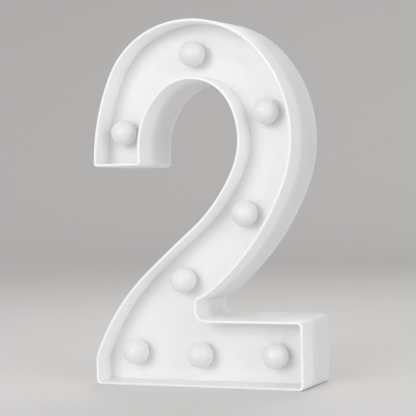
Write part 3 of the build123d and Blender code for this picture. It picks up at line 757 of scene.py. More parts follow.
@dataclass(frozen=True)
class FigureSizes:
    """Sizes of the figure in millimetres, and places on its face as shares.

    Across, a share is of the foot's width from its middle. Up, it is 0 to 1 from the ground to the hook's
    end and 1 to 2 from there to the top.
    """

    height: float = 219.0
    foot_width: float = 133.1
    depth: float = 45.0
    foot_height: float = 40.3
    hook_height: float = 133.0
    notch_height: float = 11.5
    rear_growth: float = 1.2
    wall: float = 1.6
    recess_depth: float = 17.0
    recess_draft: float = math.radians(1.0)
    recess_corner_radius: float = 0.1
    notch_rear_radius: float = 0.3
    panel_thickness: float = 2.0
    cover_inset: float = 2.0
    cover_thickness: float = 2.0
    cover_clearance: float = 0.25
    foot_bottom_right_radius: float = 3.0
    foot_bottom_left_radius: float = 3.0
    foot_top_radius: float = 3.3
    foot_side_radius: float = 12.0
    notch_bottom_radius: float = 5.5
    hook_left_share: float = -0.490
    hook_right_share: float = -0.2577
    notch_wall_share: float = 0.0038
    foot_side_share: float = 0.1263
    inner_straight_share: float = 1.1222
    outer_curve_shares: tuple[Point, ...] = ((-0.4056, 1.6249), (-0.1926, 1.9483), (0.3288, 1.7540),
                                             (0.4249, 0.8979), (0.0793, 0.4331))
    inner_curve_shares: tuple[Point, ...] = ((-0.1503, 1.5001), (0.1717, 1.4227), (0.1857, 0.9720),
                                             (-0.0140, 0.7097), (-0.2348, 0.5175))
    keyhole_share: Point = (-0.0150, 1.7657)

    @property
    def front_y(self) -> float:
        """Depth of the front rim."""
        return -self.depth / 2

    @property
    def rear_y(self) -> float:
        """Depth of the rear edge."""
        return self.depth / 2

    @property
    def panel_y(self) -> float:
        """Depth of the face panel's front."""
        return self.front_y + self.recess_depth

    @property
    def panel_back_y(self) -> float:
        """Depth of the face panel's back."""
        return self.panel_y + self.panel_thickness

    @property
    def cover_outer_y(self) -> float:
        """Depth of the back cover's outer face."""
        return self.rear_y - self.cover_inset

    @property
    def cover_inner_y(self) -> float:
        """Depth of the back cover's inner face."""
        return self.cover_outer_y - self.cover_thickness

    @property
    def recess_inset(self) -> float:
        """How far the recess is drawn in at the panel."""
        return self.wall + self.recess_depth * math.tan(self.recess_draft)

    def growth(self, y: float) -> float:
        """How far the draft has moved the wall out at a depth."""
        return (y - self.front_y) * self.rear_growth / self.depth

    def placed(self, share: Point) -> Point:
        """A place on the face from its shares.

        Args:
            share: the shares across and up.

        Returns:
            The place in millimetres.
        """
        across, up = share
        bowl = self.height - self.hook_height
        return (across * self.foot_width, self.hook_height * min(up, 1.0) + bowl * max(up - 1.0, 0.0))

    def outline(self) -> list[Stretch]:
        """The figure's outline at the front rim, walked clockwise from the hook's outer corner.

        Returns:
            The stretches.
        """
        half = self.foot_width / 2
        hook_left = (self.hook_left_share * self.foot_width, self.hook_height)
        hook_right = (self.hook_right_share * self.foot_width, self.hook_height)
        straight_end = self.placed((self.hook_right_share, self.inner_straight_share))
        notch_bottom = (self.notch_wall_share * self.foot_width, self.foot_height)
        notch_top = (notch_bottom[0], self.foot_height + self.notch_height)
        side_top = (-half, self.foot_side_share * self.hook_height)
        outer_places = [self.placed(share) for share in self.outer_curve_shares]
        inner_places = [self.placed(share) for share in self.inner_curve_shares]
        outer = tangent_run(hook_left, UP, outer_places + [notch_top])
        inner = tangent_run(straight_end, UP, inner_places + [side_top])
        corners = [notch_top, notch_bottom, (half, self.foot_height), (half, 0.0), (-half, 0.0), side_top]
        foot = [straight(start, end) for start, end in zip(corners, corners[1:])]
        back = [stretch.reverse() for stretch in reversed(inner)]
        ends = [straight(straight_end, hook_right), straight(hook_right, hook_left)]
        stretches = outer + foot + back + ends
        notch = len(outer) - 1
        last = len(stretches) - 1
        sharp = self.recess_inset + self.recess_corner_radius
        radii = {notch: self.rear_growth + self.notch_rear_radius, notch + 1: self.notch_bottom_radius,
                 notch + 2: self.foot_top_radius, notch + 3: self.foot_bottom_right_radius,
                 notch + 4: self.foot_bottom_left_radius, notch + 5: self.foot_side_radius,
                 last - 1: sharp, last: sharp}
        return rounded(stretches, radii)


@dataclass(frozen=True)
class Extent:
    """The box that a CAD node fills at rest, in millimetres."""

    low: Vector
    high: Vector

    @classmethod
    def of(cls, node: str) -> "Extent":
        """The box of a node."""
        low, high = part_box(node)
        return cls(low / MM, high / MM)

    @property
    def middle(self) -> Vector:
        """Its middle."""
        return (self.low + self.high) / 2


def numbered(prefix: str) -> list[str]:
    """The numbered CAD nodes of a kind, in order."""
    count = sum(name.startswith(prefix) and name[len(prefix):].isdigit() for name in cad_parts)
    return [f"{prefix}{number}" for number in range(1, count + 1)]


def face_places(nodes: list[str]) -> list[Point]:
    """Where nodes stand on the face."""
    return [(Extent.of(node).middle.x, Extent.of(node).middle.z) for node in nodes]


@dataclass(frozen=True)
class Plan:
    """The figure's sizes and outline, with the places that the frame gives."""

    sizes: FigureSizes
    outline: list[Stretch]
    globes: list[Point]
    screws: list[Point]

    @classmethod
    def drawn(cls, sizes: FigureSizes) -> "Plan":
        """The plan for a figure of these sizes."""
        return cls(sizes, sizes.outline(), face_places(numbered("led_")),
                   face_places(numbered("cover_screw_")))


@dataclass(frozen=True)
class Bay:
    """The battery bay as the frame has it: its inner walls, floor and rim, and the opening in the cover."""

    left: float
    right: float
    bottom: float
    rim: float
    middle: float
    half_height: float
    opening_left: float
    opening_right: float
    wall: float = 1.2
    flange: float = 3.0
    side_flange: float = 0.9

    @classmethod
    def found(cls) -> "Bay":
        """Reads the bay from the frame.

        Returns:
            The bay.
        """
        box = Extent.of("battery_box")
        bridge = Extent.of("cell_contact_bridge")
        positive = Extent.of("cell_contact_positive")
        left = positive.high.x - (bridge.high.x - bridge.low.x)
        return cls(left, bridge.high.x, box.low.y, box.high.y, bridge.middle.z,
                   (box.high.z - box.low.z) / 2 - cls.wall - cls.side_flange,
                   box.low.x + cls.flange, box.high.x - cls.flange)

    def opening(self, clearance: float, radius: float) -> list[Stretch]:
        """The outline of the opening in the cover.

        Args:
            clearance: how far it is drawn in.
            radius: radius of its corners.

        Returns:
            The stretches.
        """
        half = self.half_height - clearance
        return box_outline((self.opening_left + clearance, self.middle - half),
                           (self.opening_right - clearance, self.middle + half), radius)


@dataclass
class Tray:
    """The moulded figure in one piece: side wall, rim, recessed face panel, bosses and board rings."""

    plan: Plan
    rim_edge: float = 0.45
    rear_edge: float = 0.35
    panel_fillet: float = 0.5
    stem_hole_radius: float = 4.9
    boss_radius: float = 3.2
    pilot_radius: float = 1.05
    ring_radius: float = 7.05
    ring_wall: float = 1.3
    ring_height: float = 3.0

    def section(self) -> list[Corner]:
        """The wall's section from the panel's front over the rim and the rear edge to the panel's back.

        Returns:
            Steps outward from the front outline, and depths.
        """
        sizes = self.plan.sizes
        foot = -sizes.recess_inset
        outside = sizes.growth(sizes.rear_y)
        back = sizes.growth(sizes.panel_back_y) - sizes.wall
        strip = self.rear_edge * 2
        corners = [Corner(foot - self.panel_fillet * 2, sizes.panel_y),
                   Corner(foot, sizes.panel_y, self.panel_fillet),
                   Corner(-sizes.wall, sizes.front_y, self.rim_edge),
                   Corner(0.0, sizes.front_y, self.rim_edge, 0.0),
                   Corner(outside, sizes.rear_y, self.rear_edge, 0.0),
                   Corner(outside - sizes.wall, sizes.rear_y, self.rear_edge, sizes.wall),
                   Corner(back, sizes.panel_back_y, self.rear_edge, sizes.wall),
                   Corner(back - strip, sizes.panel_back_y, 0.0, sizes.wall + strip)]
        return rounded_section(corners)

    def build(self, finishes: Finishes) -> None:
        """Builds the tray in place of the housing.

        Args:
            finishes: the object's finishes.
        """
        sizes = self.plan.sizes
        form = Form()
        rings = form.sweep(sampled(self.plan.outline), self.section())
        fronts, backs = [rings[0]], [rings[-1]]
        for place in self.plan.globes:
            bore = sampled(hole(circle_outline(place, self.stem_hole_radius)), sharpest=10.0)
            ends = form.sweep(bore, [Corner(0.0, sizes.panel_y), Corner(0.0, sizes.panel_back_y)])
            fronts.append(ends[0])
            backs.append(ends[1])
        form.cap(fronts)
        form.cap(backs)
        height = sizes.cover_inner_y - sizes.panel_back_y
        boss = [Corner(self.boss_radius, 0.0), Corner(self.boss_radius, height),
                Corner(self.pilot_radius, height), Corner(self.pilot_radius, height / 2),
                Corner(0.0, height / 2)]
        inner = self.ring_radius - self.ring_wall
        ring = [Corner(self.ring_radius, 0.0), Corner(self.ring_radius, self.ring_height),
                Corner(inner, self.ring_height), Corner(inner, 0.0)]
        back = Vector((0, 1, 0))
        for x, z in self.plan.screws:
            form.turned(boss, (x, sizes.panel_back_y, z), back, segments=32)
        for x, z in self.plan.globes:
            form.turned(ring, (x, sizes.panel_back_y, z), back, segments=40)
        piece = form.finished("tray", finishes.of(Look.SHELL))
        dressed(piece, Body.FIGURE, Slot.SHELL, "front_housing")


@dataclass
class Globes:
    """Frosted globes on stepped necks that snap into the panel."""

    plan: Plan
    radius: float = 7.9
    neck_radius: float = 5.5
    neck_height: float = 1.4
    stem_radius: float = 4.8
    bead_radius: float = 5.25
    bead_gap: float = 0.05
    bead_height: float = 1.2
    wall: float = 1.1
    neck_fillet: float = 0.25
    steps: int = 28

    def section(self) -> list[Corner]:
        """The globe's section, from inside the stem over the bead and the ball and back inside.

        Returns:
            Radii and heights above the panel.
        """
        centre = self.neck_height + math.sqrt(self.radius ** 2 - self.neck_radius ** 2)
        bead_top = -self.plan.sizes.panel_thickness - self.bead_gap
        bead_low = bead_top - self.bead_height
        inner_radius = self.radius - self.wall
        inner_stem = self.stem_radius - self.wall
        stem = [Corner(inner_stem, bead_low), Corner(self.stem_radius, bead_low),
                Corner(self.bead_radius, bead_top), Corner(self.stem_radius, bead_top),
                Corner(self.stem_radius, 0.0), Corner(self.neck_radius, 0.0, self.neck_fillet),
                Corner(self.neck_radius, self.neck_height)]
        lower = math.asin(self.neck_radius / self.radius)
        inner_lower = math.asin(inner_stem / inner_radius)
        outside, inside = [], []
        for step in range(1, self.steps + 1):
            angle = lower + (math.pi - lower) * step / self.steps
            outside.append(Corner(self.radius * math.sin(angle), centre - self.radius * math.cos(angle)))
            angle = math.pi - (math.pi - inner_lower) * (step - 1) / (self.steps - 1)
            inside.append(Corner(inner_radius * math.sin(angle), centre - inner_radius * math.cos(angle)))
        return rounded_section(stem) + outside + inside + [stem[0]]

    def build(self, finishes: Finishes) -> None:
        """Builds each globe in place of its CAD node.

        Args:
            finishes: the object's finishes.
        """
        section = self.section()
        for number, (x, z) in enumerate(self.plan.globes, 1):
            form = Form()
            form.turned(section, (x, self.plan.sizes.panel_y, z), Vector((0, -1, 0)), segments=64)
            piece = form.finished(f"globe_{number}", finishes.of(Look.GLOBE), crease=50.0)
            dressed(piece, Body.FIGURE, Slot.GLOBE, f"bulb_cover_{number}")


def raised_letters(text: str, size: float, thickness: float) -> bpy.types.Mesh:
    """Plain letters as a mesh about their own middle.

    Args:
        text: the letters.
        size: their size in millimetres.
        thickness: their thickness.

    Returns:
        The mesh.
    """
    curve = bpy.data.curves.new("letters", "FONT")
    curve.body = text
    curve.size = size
    curve.extrude = thickness / 2
    curve.align_x = "CENTER"
    curve.align_y = "CENTER"
    curve.resolution_u = 4
    holder = bpy.data.objects.new("letters", curve)
    mesh = bpy.data.meshes.new_from_object(holder)
    bpy.data.objects.remove(holder)
    bpy.data.curves.remove(curve)
    return mesh


@dataclass
class BackCover:
    """The flat back, let into the wall: screw collars, keyhole, openings, switch stakes and raised marks."""

    plan: Plan
    bay: Bay
    switch: Extent
    edge: float = 0.3
    corner_radius: float = 0.6
    screw_hole_radius: float = 1.5
    collar_radius: float = 3.5
    collar_width: float = 0.7
    collar_height: float = 0.35
    collar_edge: float = 0.15
    overlap: float = 0.1
    keyhole_radius: float = 4.0
    keyhole_half_slot: float = 2.0
    keyhole_rise: float = 8.0
    slot_length: float = 7.0
    slot_height: float = 3.4
    stake_spread: float = 8.0
    stake_radius: float = 0.9
    stake_length: float = 1.3
    stake_edge: float = 0.2
    mark_size: float = 4.2
    mark_offsets: tuple[tuple[str, float], ...] = (("ON", 8.4), ("OFF", -9.4))
    mark_height: float = 0.4

    def keyhole(self) -> list[Stretch]:
        """The keyhole's outline: a round hole with a slot that goes up from it.

        Returns:
            The stretches.
        """
        x, z = self.plan.sizes.placed(self.plan.sizes.keyhole_share)
        lean = math.asin(self.keyhole_half_slot / self.keyhole_radius)
        join = z + self.keyhole_radius * math.cos(lean)
        top = z + self.keyhole_rise
        left, right = x - self.keyhole_half_slot, x + self.keyhole_half_slot
        way_round = math.tau - lean * 2
        return [Stretch((left, join), UP, top - join),
                Stretch((left, top), UP, self.keyhole_half_slot * math.pi, -math.pi),
                Stretch((right, top), -UP, top - join),
                Stretch((right, join), -lean, self.keyhole_radius * way_round, -way_round)]

    def slot(self) -> list[Stretch]:
        """The outline of the slot that the switch knob stands in.

        Returns:
            The stretches.
        """
        x, z = self.switch.middle.x, self.switch.middle.z
        half_length, half_height = self.slot_length / 2, self.slot_height / 2
        return box_outline((x - half_length, z - half_height), (x + half_length, z + half_height),
                           self.corner_radius)

    def collars(self, form: Form) -> None:
        """A low ring round each screw head.

        Args:
            form: the form that gets them.
        """
        inner = self.collar_radius - self.collar_width
        ring = rounded_section([Corner(self.collar_radius, -self.overlap),
                                Corner(self.collar_radius, self.collar_height, self.collar_edge),
                                Corner(inner, self.collar_height, self.collar_edge),
                                Corner(inner, -self.overlap)])
        for x, z in self.plan.screws:
            form.turned(ring, (x, self.plan.sizes.cover_outer_y, z), Vector((0, 1, 0)))

    def marks(self, form: Form) -> None:
        """ON and OFF beside the slot, read from behind.

        Args:
            form: the form that gets them.
        """
        facing = Matrix(((-1, 0, 0), (0, 0, 1), (0, 1, 0))).to_4x4()
        for text, offset in self.mark_offsets:
            place = Matrix.Translation((self.switch.middle.x + offset, self.plan.sizes.cover_outer_y,
                                        self.switch.middle.z))
            form.take(raised_letters(text, self.mark_size, self.mark_height * 2), place @ facing)

    def build(self, finishes: Finishes) -> None:
        """Builds the cover in place of its CAD node.

        Args:
            finishes: the object's finishes.
        """
        sizes = self.plan.sizes
        form = Form()
        holes = [circle_outline(place, self.screw_hole_radius) for place in self.plan.screws]
        holes += [self.keyhole(), self.slot(), self.bay.opening(0.0, self.corner_radius)]
        gap = sizes.wall + sizes.cover_clearance
        outlines = [self.plan.outline] + [hole(outline) for outline in holes]
        form.plate(outlines, sizes.cover_inner_y, sizes.cover_outer_y, self.edge,
                   sizes.growth(sizes.cover_inner_y) - gap, gap)
        self.collars(form)
        self.marks(form)
        stake = [Corner(self.stake_radius, -self.overlap),
                 Corner(self.stake_radius, self.stake_length - self.stake_edge),
                 Corner(self.stake_radius - self.stake_edge, self.stake_length),
                 Corner(0.0, self.stake_length)]
        middle = self.switch.middle
        for side in (-1, 1):
            foot = (middle.x + side * self.stake_spread, sizes.cover_inner_y, middle.z)
            form.turned(stake, foot, Vector((0, -1, 0)), segments=20)
        piece = form.finished("back_plate", finishes.of(Look.COVER))
        dressed(piece, Body.FIGURE, Slot.SHELL, "back_cover")


@dataclass
class BatteryBox:
    """The tray for two cells: walls, floor, middle ridge and a flange with pockets and a latch slot."""

    bay: Bay
    edge: float = 0.25
    corner_radius: float = 0.35
    flange_thickness: float = 1.4
    latch_depth: float = 3.0
    latch_half_width: float = 5.1
    latch_reach: float = 2.2
    pocket_reach: float = 7.52
    pocket_spread: float = 8.5
    pocket_half_width: float = 4.1
    ridge_inset: float = 5.4
    ridge_height: float = 3.625
    ridge_half_width: float = 0.4
    ridge_sink: float = 0.3
    ridge_edge: float = 0.2
    floor_edge: float = 0.1

    def walls(self, form: Form) -> None:
        """The four walls, closed below the latch slot and open at it above.

        Args:
            form: the form that gets them.
        """
        bay = self.bay
        low, high = bay.middle - bay.half_height, bay.middle + bay.half_height
        left, right = bay.left - bay.wall, bay.right + bay.wall
        slot_low, slot_high = bay.middle - self.latch_half_width, bay.middle + self.latch_half_width
        outer = box_outline((left, low - bay.wall), (right, high + bay.wall), self.corner_radius)
        inner = box_outline((bay.left, low), (bay.right, high), self.corner_radius)
        step = bay.rim - self.latch_depth
        form.plate([outer, hole(inner)], bay.bottom, step, self.edge)
        path = [(right, slot_low), (right, low - bay.wall), (left, low - bay.wall), (left, high + bay.wall),
                (right, high + bay.wall), (right, slot_high), (bay.right, slot_high), (bay.right, high),
                (bay.left, high), (bay.left, low), (bay.right, low), (bay.right, slot_low)]
        form.plate([polygon(path, self.corner_radius)], step - self.edge, bay.rim - self.edge, self.edge)

    def flange(self, form: Form) -> None:
        """The flange behind the cover, notched for the door's tabs and cut for its latch.

        Args:
            form: the form that gets it.
        """
        bay = self.bay
        half = bay.half_height + bay.wall + bay.side_flange
        left, right = bay.opening_left - bay.flange, bay.opening_right + bay.flange
        path = [(left, bay.middle - half)]
        for side in (-1, 1):
            centre = bay.middle + side * self.pocket_spread
            start, end = centre - self.pocket_half_width, centre + self.pocket_half_width
            depth = left + self.pocket_reach
            path += [(left, start), (depth, start), (depth, end), (left, end)]
        path += [(left, bay.middle + half), (right, bay.middle + half), (right, bay.middle - half)]
        low, high = bay.middle - bay.half_height, bay.middle + bay.half_height
        reach = bay.right + self.latch_reach
        slot_low, slot_high = bay.middle - self.latch_half_width, bay.middle + self.latch_half_width
        mouth = [(bay.left, low), (bay.left, high), (bay.right, high), (bay.right, slot_high),
                 (reach, slot_high), (reach, slot_low), (bay.right, slot_low), (bay.right, low)]
        form.plate([polygon(path, self.corner_radius), hole(polygon(mouth, self.corner_radius))],
                   bay.rim - self.flange_thickness, bay.rim, self.edge)

    def build(self, finishes: Finishes) -> None:
        """Builds the box in place of its CAD node.

        Args:
            finishes: the object's finishes.
        """
        bay = self.bay
        form = Form()
        self.walls(form)
        self.flange(form)
        floor = bay.bottom + bay.wall
        into = bay.wall / 2
        form.block((bay.left - into, bay.bottom, bay.middle - bay.half_height - into),
                   (bay.right + into, floor, bay.middle + bay.half_height + into), self.floor_edge)
        start, end = bay.left + self.ridge_inset, bay.right - self.ridge_inset
        form.block((start, floor - self.ridge_sink, bay.middle - self.ridge_half_width),
                   (end, floor + self.ridge_height, bay.middle + self.ridge_half_width), self.ridge_edge)
        piece = form.finished("cell_tray", finishes.of(Look.SHELL))
        dressed(piece, Body.FIGURE, Slot.SHELL, "battery_box")


@dataclass
class BatteryDoor:
    """The battery door: a plate with grip ribs, the two tabs that it turns on and the latch tongue."""

    bay: Bay
    face_y: float
    thickness: float = 1.8
    clearance: float = 0.25
    edge: float = 0.3
    corner_radius: float = 0.6
    rib_steps: tuple[float, ...] = (2.2, 4.4, 6.6)
    rib_width: float = 0.9
    rib_height: float = 0.4
    rib_half_length: float = 4.5
    rib_edge: float = 0.25
    overlap: float = 0.2
    tab_spread: float = 8.5
    tab_half_width: float = 3.5
    tab_reach: float = 2.75
    tab_leg: float = 1.5
    tab_depth: float = 3.4
    tab_thickness: float = 1.2
    tab_edge: float = 0.2
    leg_gap: float = 0.05
    leg_edge: float = 0.15
    tongue_thickness: float = 1.1
    tongue_half_width: float = 4.5
    tongue_depth: float = 4.4
    tongue_edge: float = 0.2

    def build(self, finishes: Finishes) -> None:
        """Builds the door in place of its CAD node.

        Args:
            finishes: the object's finishes.
        """
        form = Form()
        inner_y = self.face_y - self.thickness
        left, right = self.bay.opening_left + self.clearance, self.bay.opening_right - self.clearance
        middle = self.bay.middle
        form.plate([self.bay.opening(self.clearance, self.corner_radius)], inner_y, self.face_y, self.edge)
        for step in self.rib_steps:
            start, end = right - step - self.rib_width / 2, right - step + self.rib_width / 2
            form.block((start, self.face_y - self.overlap, middle - self.rib_half_length),
                       (end, self.face_y + self.rib_height, middle + self.rib_half_length), self.rib_edge)
        tab_y = self.face_y - self.tab_depth
        leg = left + self.tab_leg
        for side in (-1, 1):
            centre = middle + side * self.tab_spread
            low, high = centre - self.tab_half_width, centre + self.tab_half_width
            form.block((left - self.tab_reach, tab_y, low), (leg, tab_y + self.tab_thickness, high),
                       self.tab_edge)
            form.block((left, tab_y + self.leg_gap, low), (leg, inner_y + self.overlap, high),
                       self.leg_edge)
        tip_y = self.face_y - self.tongue_depth
        form.block((right - self.tongue_thickness, tip_y, middle - self.tongue_half_width),
                   (right, inner_y + self.overlap, middle + self.tongue_half_width), self.tongue_edge)
        piece = form.finished("bay_door", finishes.of(Look.COVER))
        dressed(piece, Body.DOOR, Slot.SHELL, "battery_door")


@dataclass
class Cells:
    """Two plain cells: sleeve, metal band, steel ends and generic polarity marks."""

    edge: float = 0.6
    lip: float = 0.95
    lip_edge: float = 0.1
    step: float = 0.2
    overlap: float = 0.1
    dish_shares: tuple[float, float] = (0.66, 0.72)
    nub_radius: float = 2.75
    nub_height: float = 1.2
    nub_foot_edge: float = 0.3
    nub_edge: float = 0.4
    segments: int = 64
    band_share: float = 0.3
    mark_length: float = 3.2
    mark_width: float = 0.7
    mark_inset: float = 5.0
    mark_steps: int = 8
    print_height: float = 0.02

    def bar(self, form: Form, foot: Vector, ahead: Vector, radius: float, half_length: float,
            half_across: float) -> None:
        """A printed bar on the side of the cell that faces the door, bent round it.

        Args:
            form: the form that gets it.
            foot: the point on the cell's axis that the bar is level with.
            ahead: the cell's direction.
            radius: the cell's radius.
            half_length: half its size along the cell.
            half_across: half its size round the cell.
        """
        toward = Vector((0, 1, 0))
        beside = ahead.cross(toward)
        rows = []
        for side in (-1, 1):
            row = []
            for step in range(self.mark_steps + 1):
                angle = half_across / radius * (step * 2 / self.mark_steps - 1)
                outward = toward * math.cos(angle) + beside * math.sin(angle)
                place = foot + ahead * side * half_length + outward * (radius + self.print_height)
                row.append(form.body.verts.new(place))
            rows.append(row)
        for step in range(self.mark_steps):
            form.face([rows[0][step], rows[0][step + 1], rows[1][step + 1], rows[1][step]])

    def build(self, finishes: Finishes) -> None:
        """Builds both cells in place of their CAD nodes.

        Args:
            finishes: the object's finishes.
        """
        for number in (1, 2):
            box = Extent.of(f"aa_cell_{number}")
            radius = (box.high.z - box.low.z) / 2
            seated_left = Extent.of(f"cell_spring_{number}").middle.x < box.middle.x
            ahead = Vector((1, 0, 0)) if seated_left else Vector((-1, 0, 0))
            foot = Vector((box.low.x if seated_left else box.high.x, box.middle.y, box.middle.z))
            can = box.high.x - box.low.x - self.nub_height
            band = can * (1 - self.band_share)
            rim = radius - self.lip
            plus = foot + ahead * (can - self.mark_inset)
            minus = foot + ahead * self.mark_inset
            sleeve = [Corner(rim, self.step * 2), Corner(rim, 0.0, self.lip_edge),
                      Corner(radius, 0.0, self.edge), Corner(radius, band)]
            metal = [Corner(radius, band), Corner(radius, can, self.edge), Corner(rim, can, self.lip_edge),
                     Corner(rim, can - self.step * 2)]
            start, end = self.dish_shares
            dish = [Corner(0.0, 0.0), Corner(rim * start, 0.0), Corner(rim * end, self.step),
                    Corner(rim + self.overlap, self.step)]
            top = can + self.nub_height
            nub = [Corner(rim + self.overlap, can - self.step),
                   Corner(self.nub_radius, can - self.step, self.nub_foot_edge),
                   Corner(self.nub_radius, top, self.nub_edge), Corner(0.0, top)]
            form = Form()
            form.turned(rounded_section(sleeve), foot, ahead, self.segments)
            self.bar(form, plus, ahead, radius, self.mark_length / 2, self.mark_width / 2)
            self.bar(form, plus, ahead, radius, self.mark_width / 2, self.mark_length / 2)
            form.finish_number = 1
            form.turned(rounded_section(metal), foot, ahead, self.segments)
            self.bar(form, minus, ahead, radius, self.mark_width / 2, self.mark_length / 2)
            form.finish_number = 2
            form.turned(dish, foot, ahead, self.segments)
            form.turned(rounded_section(nub), foot, ahead, self.segments)
            piece = form.finished(f"cell_{number}", finishes.of(Look.SLEEVE, Look.BAND, Look.STEEL))
            dressed(piece, Body.FIGURE, Slot.CELL, f"aa_cell_{number}")


@dataclass
class Springs:
    """The coil springs behind the cells, wound close at both ends."""

    wire_radius: float = 0.3
    turns: float = 5.0
    close_turns: float = 0.9
    steps_per_turn: int = 30

    def path(self, box: Extent) -> list[Vector]:
        """The line of the wire's middle.

        Args:
            box: the box that the spring fills.

        Returns:
            Points along it.
        """
        radius = (box.high.z - box.low.z) / 2 - self.wire_radius
        rise = self.wire_radius * 2 * self.close_turns
        length = box.high.x - box.low.x - self.wire_radius * 2
        open_turns = self.turns - self.close_turns * 2
        points = []
        for step in range(round(self.turns * self.steps_per_turn) + 1):
            turn = step / self.steps_per_turn
            first = min(turn, self.close_turns) * self.wire_radius * 2
            middle = min(max(turn - self.close_turns, 0.0), open_turns) / open_turns * (length - rise * 2)
            last = max(turn - self.close_turns - open_turns, 0.0) * self.wire_radius * 2
            angle = math.tau * turn
            points.append(Vector((box.low.x + self.wire_radius + first + middle + last,
                                  box.middle.y + radius * math.cos(angle),
                                  box.middle.z + radius * math.sin(angle))))
        return points

    def build(self, finishes: Finishes) -> None:
        """Builds both springs in place of their CAD nodes.

        Args:
            finishes: the object's finishes.
        """
        for number in (1, 2):
            form = Form()
            form.tube(self.path(Extent.of(f"cell_spring_{number}")), self.wire_radius)
            piece = form.finished(f"coil_{number}", finishes.of(Look.STEEL))
            dressed(piece, Body.FIGURE, Slot.STEEL, f"cell_spring_{number}")


@dataclass
class SwitchKnob:
    """The slider of the switch: a foot inside the case and a ridged knob that stands out of the slot."""

    foot_height: float = 1.4
    foot_inset: float = 0.9
    foot_side_inset: float = 0.6
    ridge_step: float = 1.15
    ridge_width: float = 0.6
    ridge_height: float = 0.6
    ridge_side_inset: float = 0.05
    ridge_edge: float = 0.2
    edge: float = 0.15
    overlap: float = 0.3

    def build(self, finishes: Finishes) -> None:
        """Builds the knob in place of the CAD slider.

        Args:
            finishes: the object's finishes.
        """
        box = Extent.of("switch_slider")
        form = Form()
        step_y = box.low.y + self.foot_height
        form.block(tuple(box.low), (box.high.x, step_y, box.high.z), self.edge)
        left, right = box.low.x + self.foot_inset, box.high.x - self.foot_inset
        low, high = box.low.z + self.foot_side_inset, box.high.z - self.foot_side_inset
        form.block((left, step_y - self.overlap, low), (right, box.high.y - self.ridge_height, high),
                   self.edge)
        half = self.ridge_width / 2
        for side in (-1, 0, 1):
            x = box.middle.x + side * self.ridge_step
            form.block((x - half, box.high.y - self.ridge_height * 2, low + self.ridge_side_inset),
                       (x + half, box.high.y, high - self.ridge_side_inset), self.ridge_edge)
        piece = form.finished("switch_knob", finishes.of(Look.SWITCH))
        dressed(piece, Body.SLIDER, Slot.SWITCH, "switch_slider")


@dataclass
class CarriedParts:
    """The CAD parts whose own shape is right: they get only their finish."""

    looks: tuple[tuple[str, Look], ...] = (
        ("led_board_", Look.BOARD), ("led_", Look.RESIN), ("cell_contact_", Look.STEEL),
        ("cover_screw_", Look.STEEL), ("switch_frame", Look.STEEL), ("switch_terminals", Look.SOLDER),
        ("switch_body", Look.SWITCH), ("splice_sleeve_", Look.BLACK), ("pair_lead_red", Look.RED),
        ("pair_lead_black", Look.BLACK), ("feed_lead_red", Look.RED), ("feed_lead_battery", Look.RED),
        ("feed_lead_black", Look.BLACK))

    def dress(self, finishes: Finishes) -> None:
        """Gives each such part its finish.

        Args:
            finishes: the object's finishes.
        """
        for node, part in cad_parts.items():
            look = next((look for prefix, look in self.looks if node.startswith(prefix)), None)
            if look is None:
                continue
            for slot in part.material_slots:
                slot.material = finishes.made[look]
            log.info("%s keeps its CAD shape, finished as %s", node, look.value)


@dataclass(frozen=True)
class Lamp:
    """A soft square lamp: its place and its side in metres, and its power in watts."""

    name: str
    place: Place
    size: float
    power: float


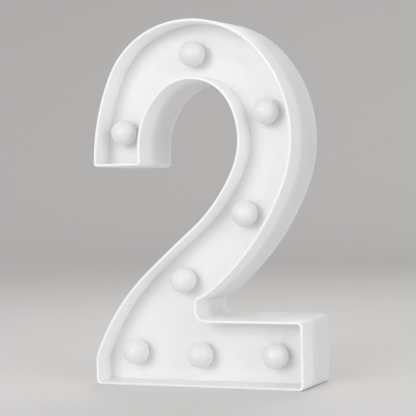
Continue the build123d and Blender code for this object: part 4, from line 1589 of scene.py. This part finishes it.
@dataclass
class Studio:
    """Pale floor and backdrop, soft lamps and the camera of the photographed view."""

    floor_color: Color = (0.76, 0.75, 0.745)
    floor_roughness: float = 0.9
    floor_half_width: float = 3.0
    floor_front: float = -2.2
    floor_back: float = 1.4
    sweep_radius: float = 0.6
    wall_height: float = 2.6
    sweep_steps: int = 24
    camera_place: Place = (0.328155, -0.803537, 0.121397)
    camera_yaw: float = 0.38737
    camera_pitch: float = -0.01724
    camera_roll: float = -0.02192
    focal_pixels: float = 1429.65
    frame_pixels: float = 416.0
    sensor_width: float = 36.0
    near_clip: float = 0.05
    world_color: Color = (1.0, 0.995, 0.99)
    world_strength: float = 0.58
    lamps: tuple[Lamp, ...] = (Lamp("key", (-0.31, -1.42, 0.47), 0.9, 1.48),
                               Lamp("fill", (1.35, -0.75, 0.68), 1.1, 1.1),
                               Lamp("back", (-0.1, 1.0, 1.3), 0.8, 0.9))
    lamp_spread: float = math.radians(70.0)
    lamp_target: Place = (0.0, 0.0, 0.11)

    def floor(self) -> None:
        """One smooth sheet that is floor, sweep and backdrop."""
        profile = [(self.floor_front, 0.0)]
        for step in range(self.sweep_steps + 1):
            angle = UP * step / self.sweep_steps
            profile.append((self.floor_back + self.sweep_radius * math.sin(angle),
                            self.sweep_radius * (1 - math.cos(angle))))
        profile.append((self.floor_back + self.sweep_radius, self.wall_height))
        form = Form()
        rows = [[form.body.verts.new(Vector((side * self.floor_half_width, y, z)) / MM) for side in (-1, 1)]
                for y, z in profile]
        for low, high in zip(rows, rows[1:]):
            form.face([low[0], low[1], high[1], high[0]])
        form.finished("studio_floor", [self.paper()], crease=60.0)

    def paper(self) -> bpy.types.Material:
        """Matt pale paper for the floor.

        Returns:
            The material.
        """
        material = bpy.data.materials.new("studio_paper")
        material.use_nodes = True
        layout = Layout(material.node_tree)
        shader = material.node_tree.nodes["Principled BSDF"]
        shader.inputs["Roughness"].default_value = self.floor_roughness
        shader.inputs["Base Color"].default_value = (*self.floor_color, 1.0)
        grain = layout.add("ShaderNodeTexNoise", {"Scale": 900.0, "Detail": 2.0})
        bump = layout.add("ShaderNodeBump", {"Strength": 0.1, "Distance": 0.0001})
        layout.link(grain.outputs["Fac"], bump.inputs["Height"])
        layout.link(bump.outputs["Normal"], shader.inputs["Normal"])
        return material

    def world(self) -> None:
        """Even pale light from all round."""
        world = bpy.data.worlds.new("studio_world")
        world.use_nodes = True
        background = world.node_tree.nodes["Background"]
        background.inputs["Color"].default_value = (*self.world_color, 1.0)
        background.inputs["Strength"].default_value = self.world_strength
        bpy.context.scene.world = world

    def hang(self, lamp: Lamp) -> None:
        """Hangs a lamp so that it faces the object's middle.

        Args:
            lamp: the lamp.
        """
        light = bpy.data.lights.new(lamp.name, "AREA")
        light.size = lamp.size
        light.spread = self.lamp_spread
        light.energy = lamp.power
        holder = bpy.data.objects.new(lamp.name, light)
        holder.location = lamp.place
        toward = Vector(self.lamp_target) - Vector(lamp.place)
        holder.rotation_euler = toward.to_track_quat("-Z", "Y").to_euler()
        bpy.context.scene.collection.objects.link(holder)

    def camera(self) -> None:
        """The camera of the photographed view."""
        data = bpy.data.cameras.new("camera")
        data.sensor_width = self.sensor_width
        data.lens = self.focal_pixels * self.sensor_width / self.frame_pixels
        data.clip_start = self.near_clip
        camera = bpy.data.objects.new("camera", data)
        yaw, pitch, roll = self.camera_yaw, self.camera_pitch, self.camera_roll
        ahead = Vector((-math.sin(yaw) * math.cos(pitch), math.cos(yaw) * math.cos(pitch), math.sin(pitch)))
        across = Vector((math.cos(yaw), math.sin(yaw), 0.0))
        above = across.cross(ahead)
        right = across * math.cos(roll) + above * math.sin(roll)
        top = above * math.cos(roll) - across * math.sin(roll)
        pose = Matrix((right, top, -ahead)).transposed().to_4x4()
        pose.translation = Vector(self.camera_place)
        camera.matrix_world = pose
        bpy.context.scene.collection.objects.link(camera)
        bpy.context.scene.camera = camera

    def build(self) -> None:
        """Sets up the camera, the floor, the world and the lamps."""
        bpy.context.scene.view_settings.view_transform = "Standard"
        self.camera()
        self.floor()
        self.world()
        for lamp in self.lamps:
            self.hang(lamp)


def main() -> None:
    """Builds the studio, the finishes and every sub-assembly in order."""
    logging.basicConfig(level=logging.INFO, format="%(name)s: %(message)s")
    plan = Plan.drawn(FigureSizes())
    Studio().build()
    finishes = Finishes()
    finishes.build()
    Tray(plan).build(finishes)
    Globes(plan).build(finishes)
    bay = Bay.found()
    BackCover(plan, bay, Extent.of("switch_frame")).build(finishes)
    BatteryBox(bay).build(finishes)
    BatteryDoor(bay, plan.sizes.cover_outer_y).build(finishes)
    Cells().build(finishes)
    Springs().build(finishes)
    SwitchKnob().build(finishes)
    CarriedParts().dress(finishes)


if __name__ == "__main__":
    main()
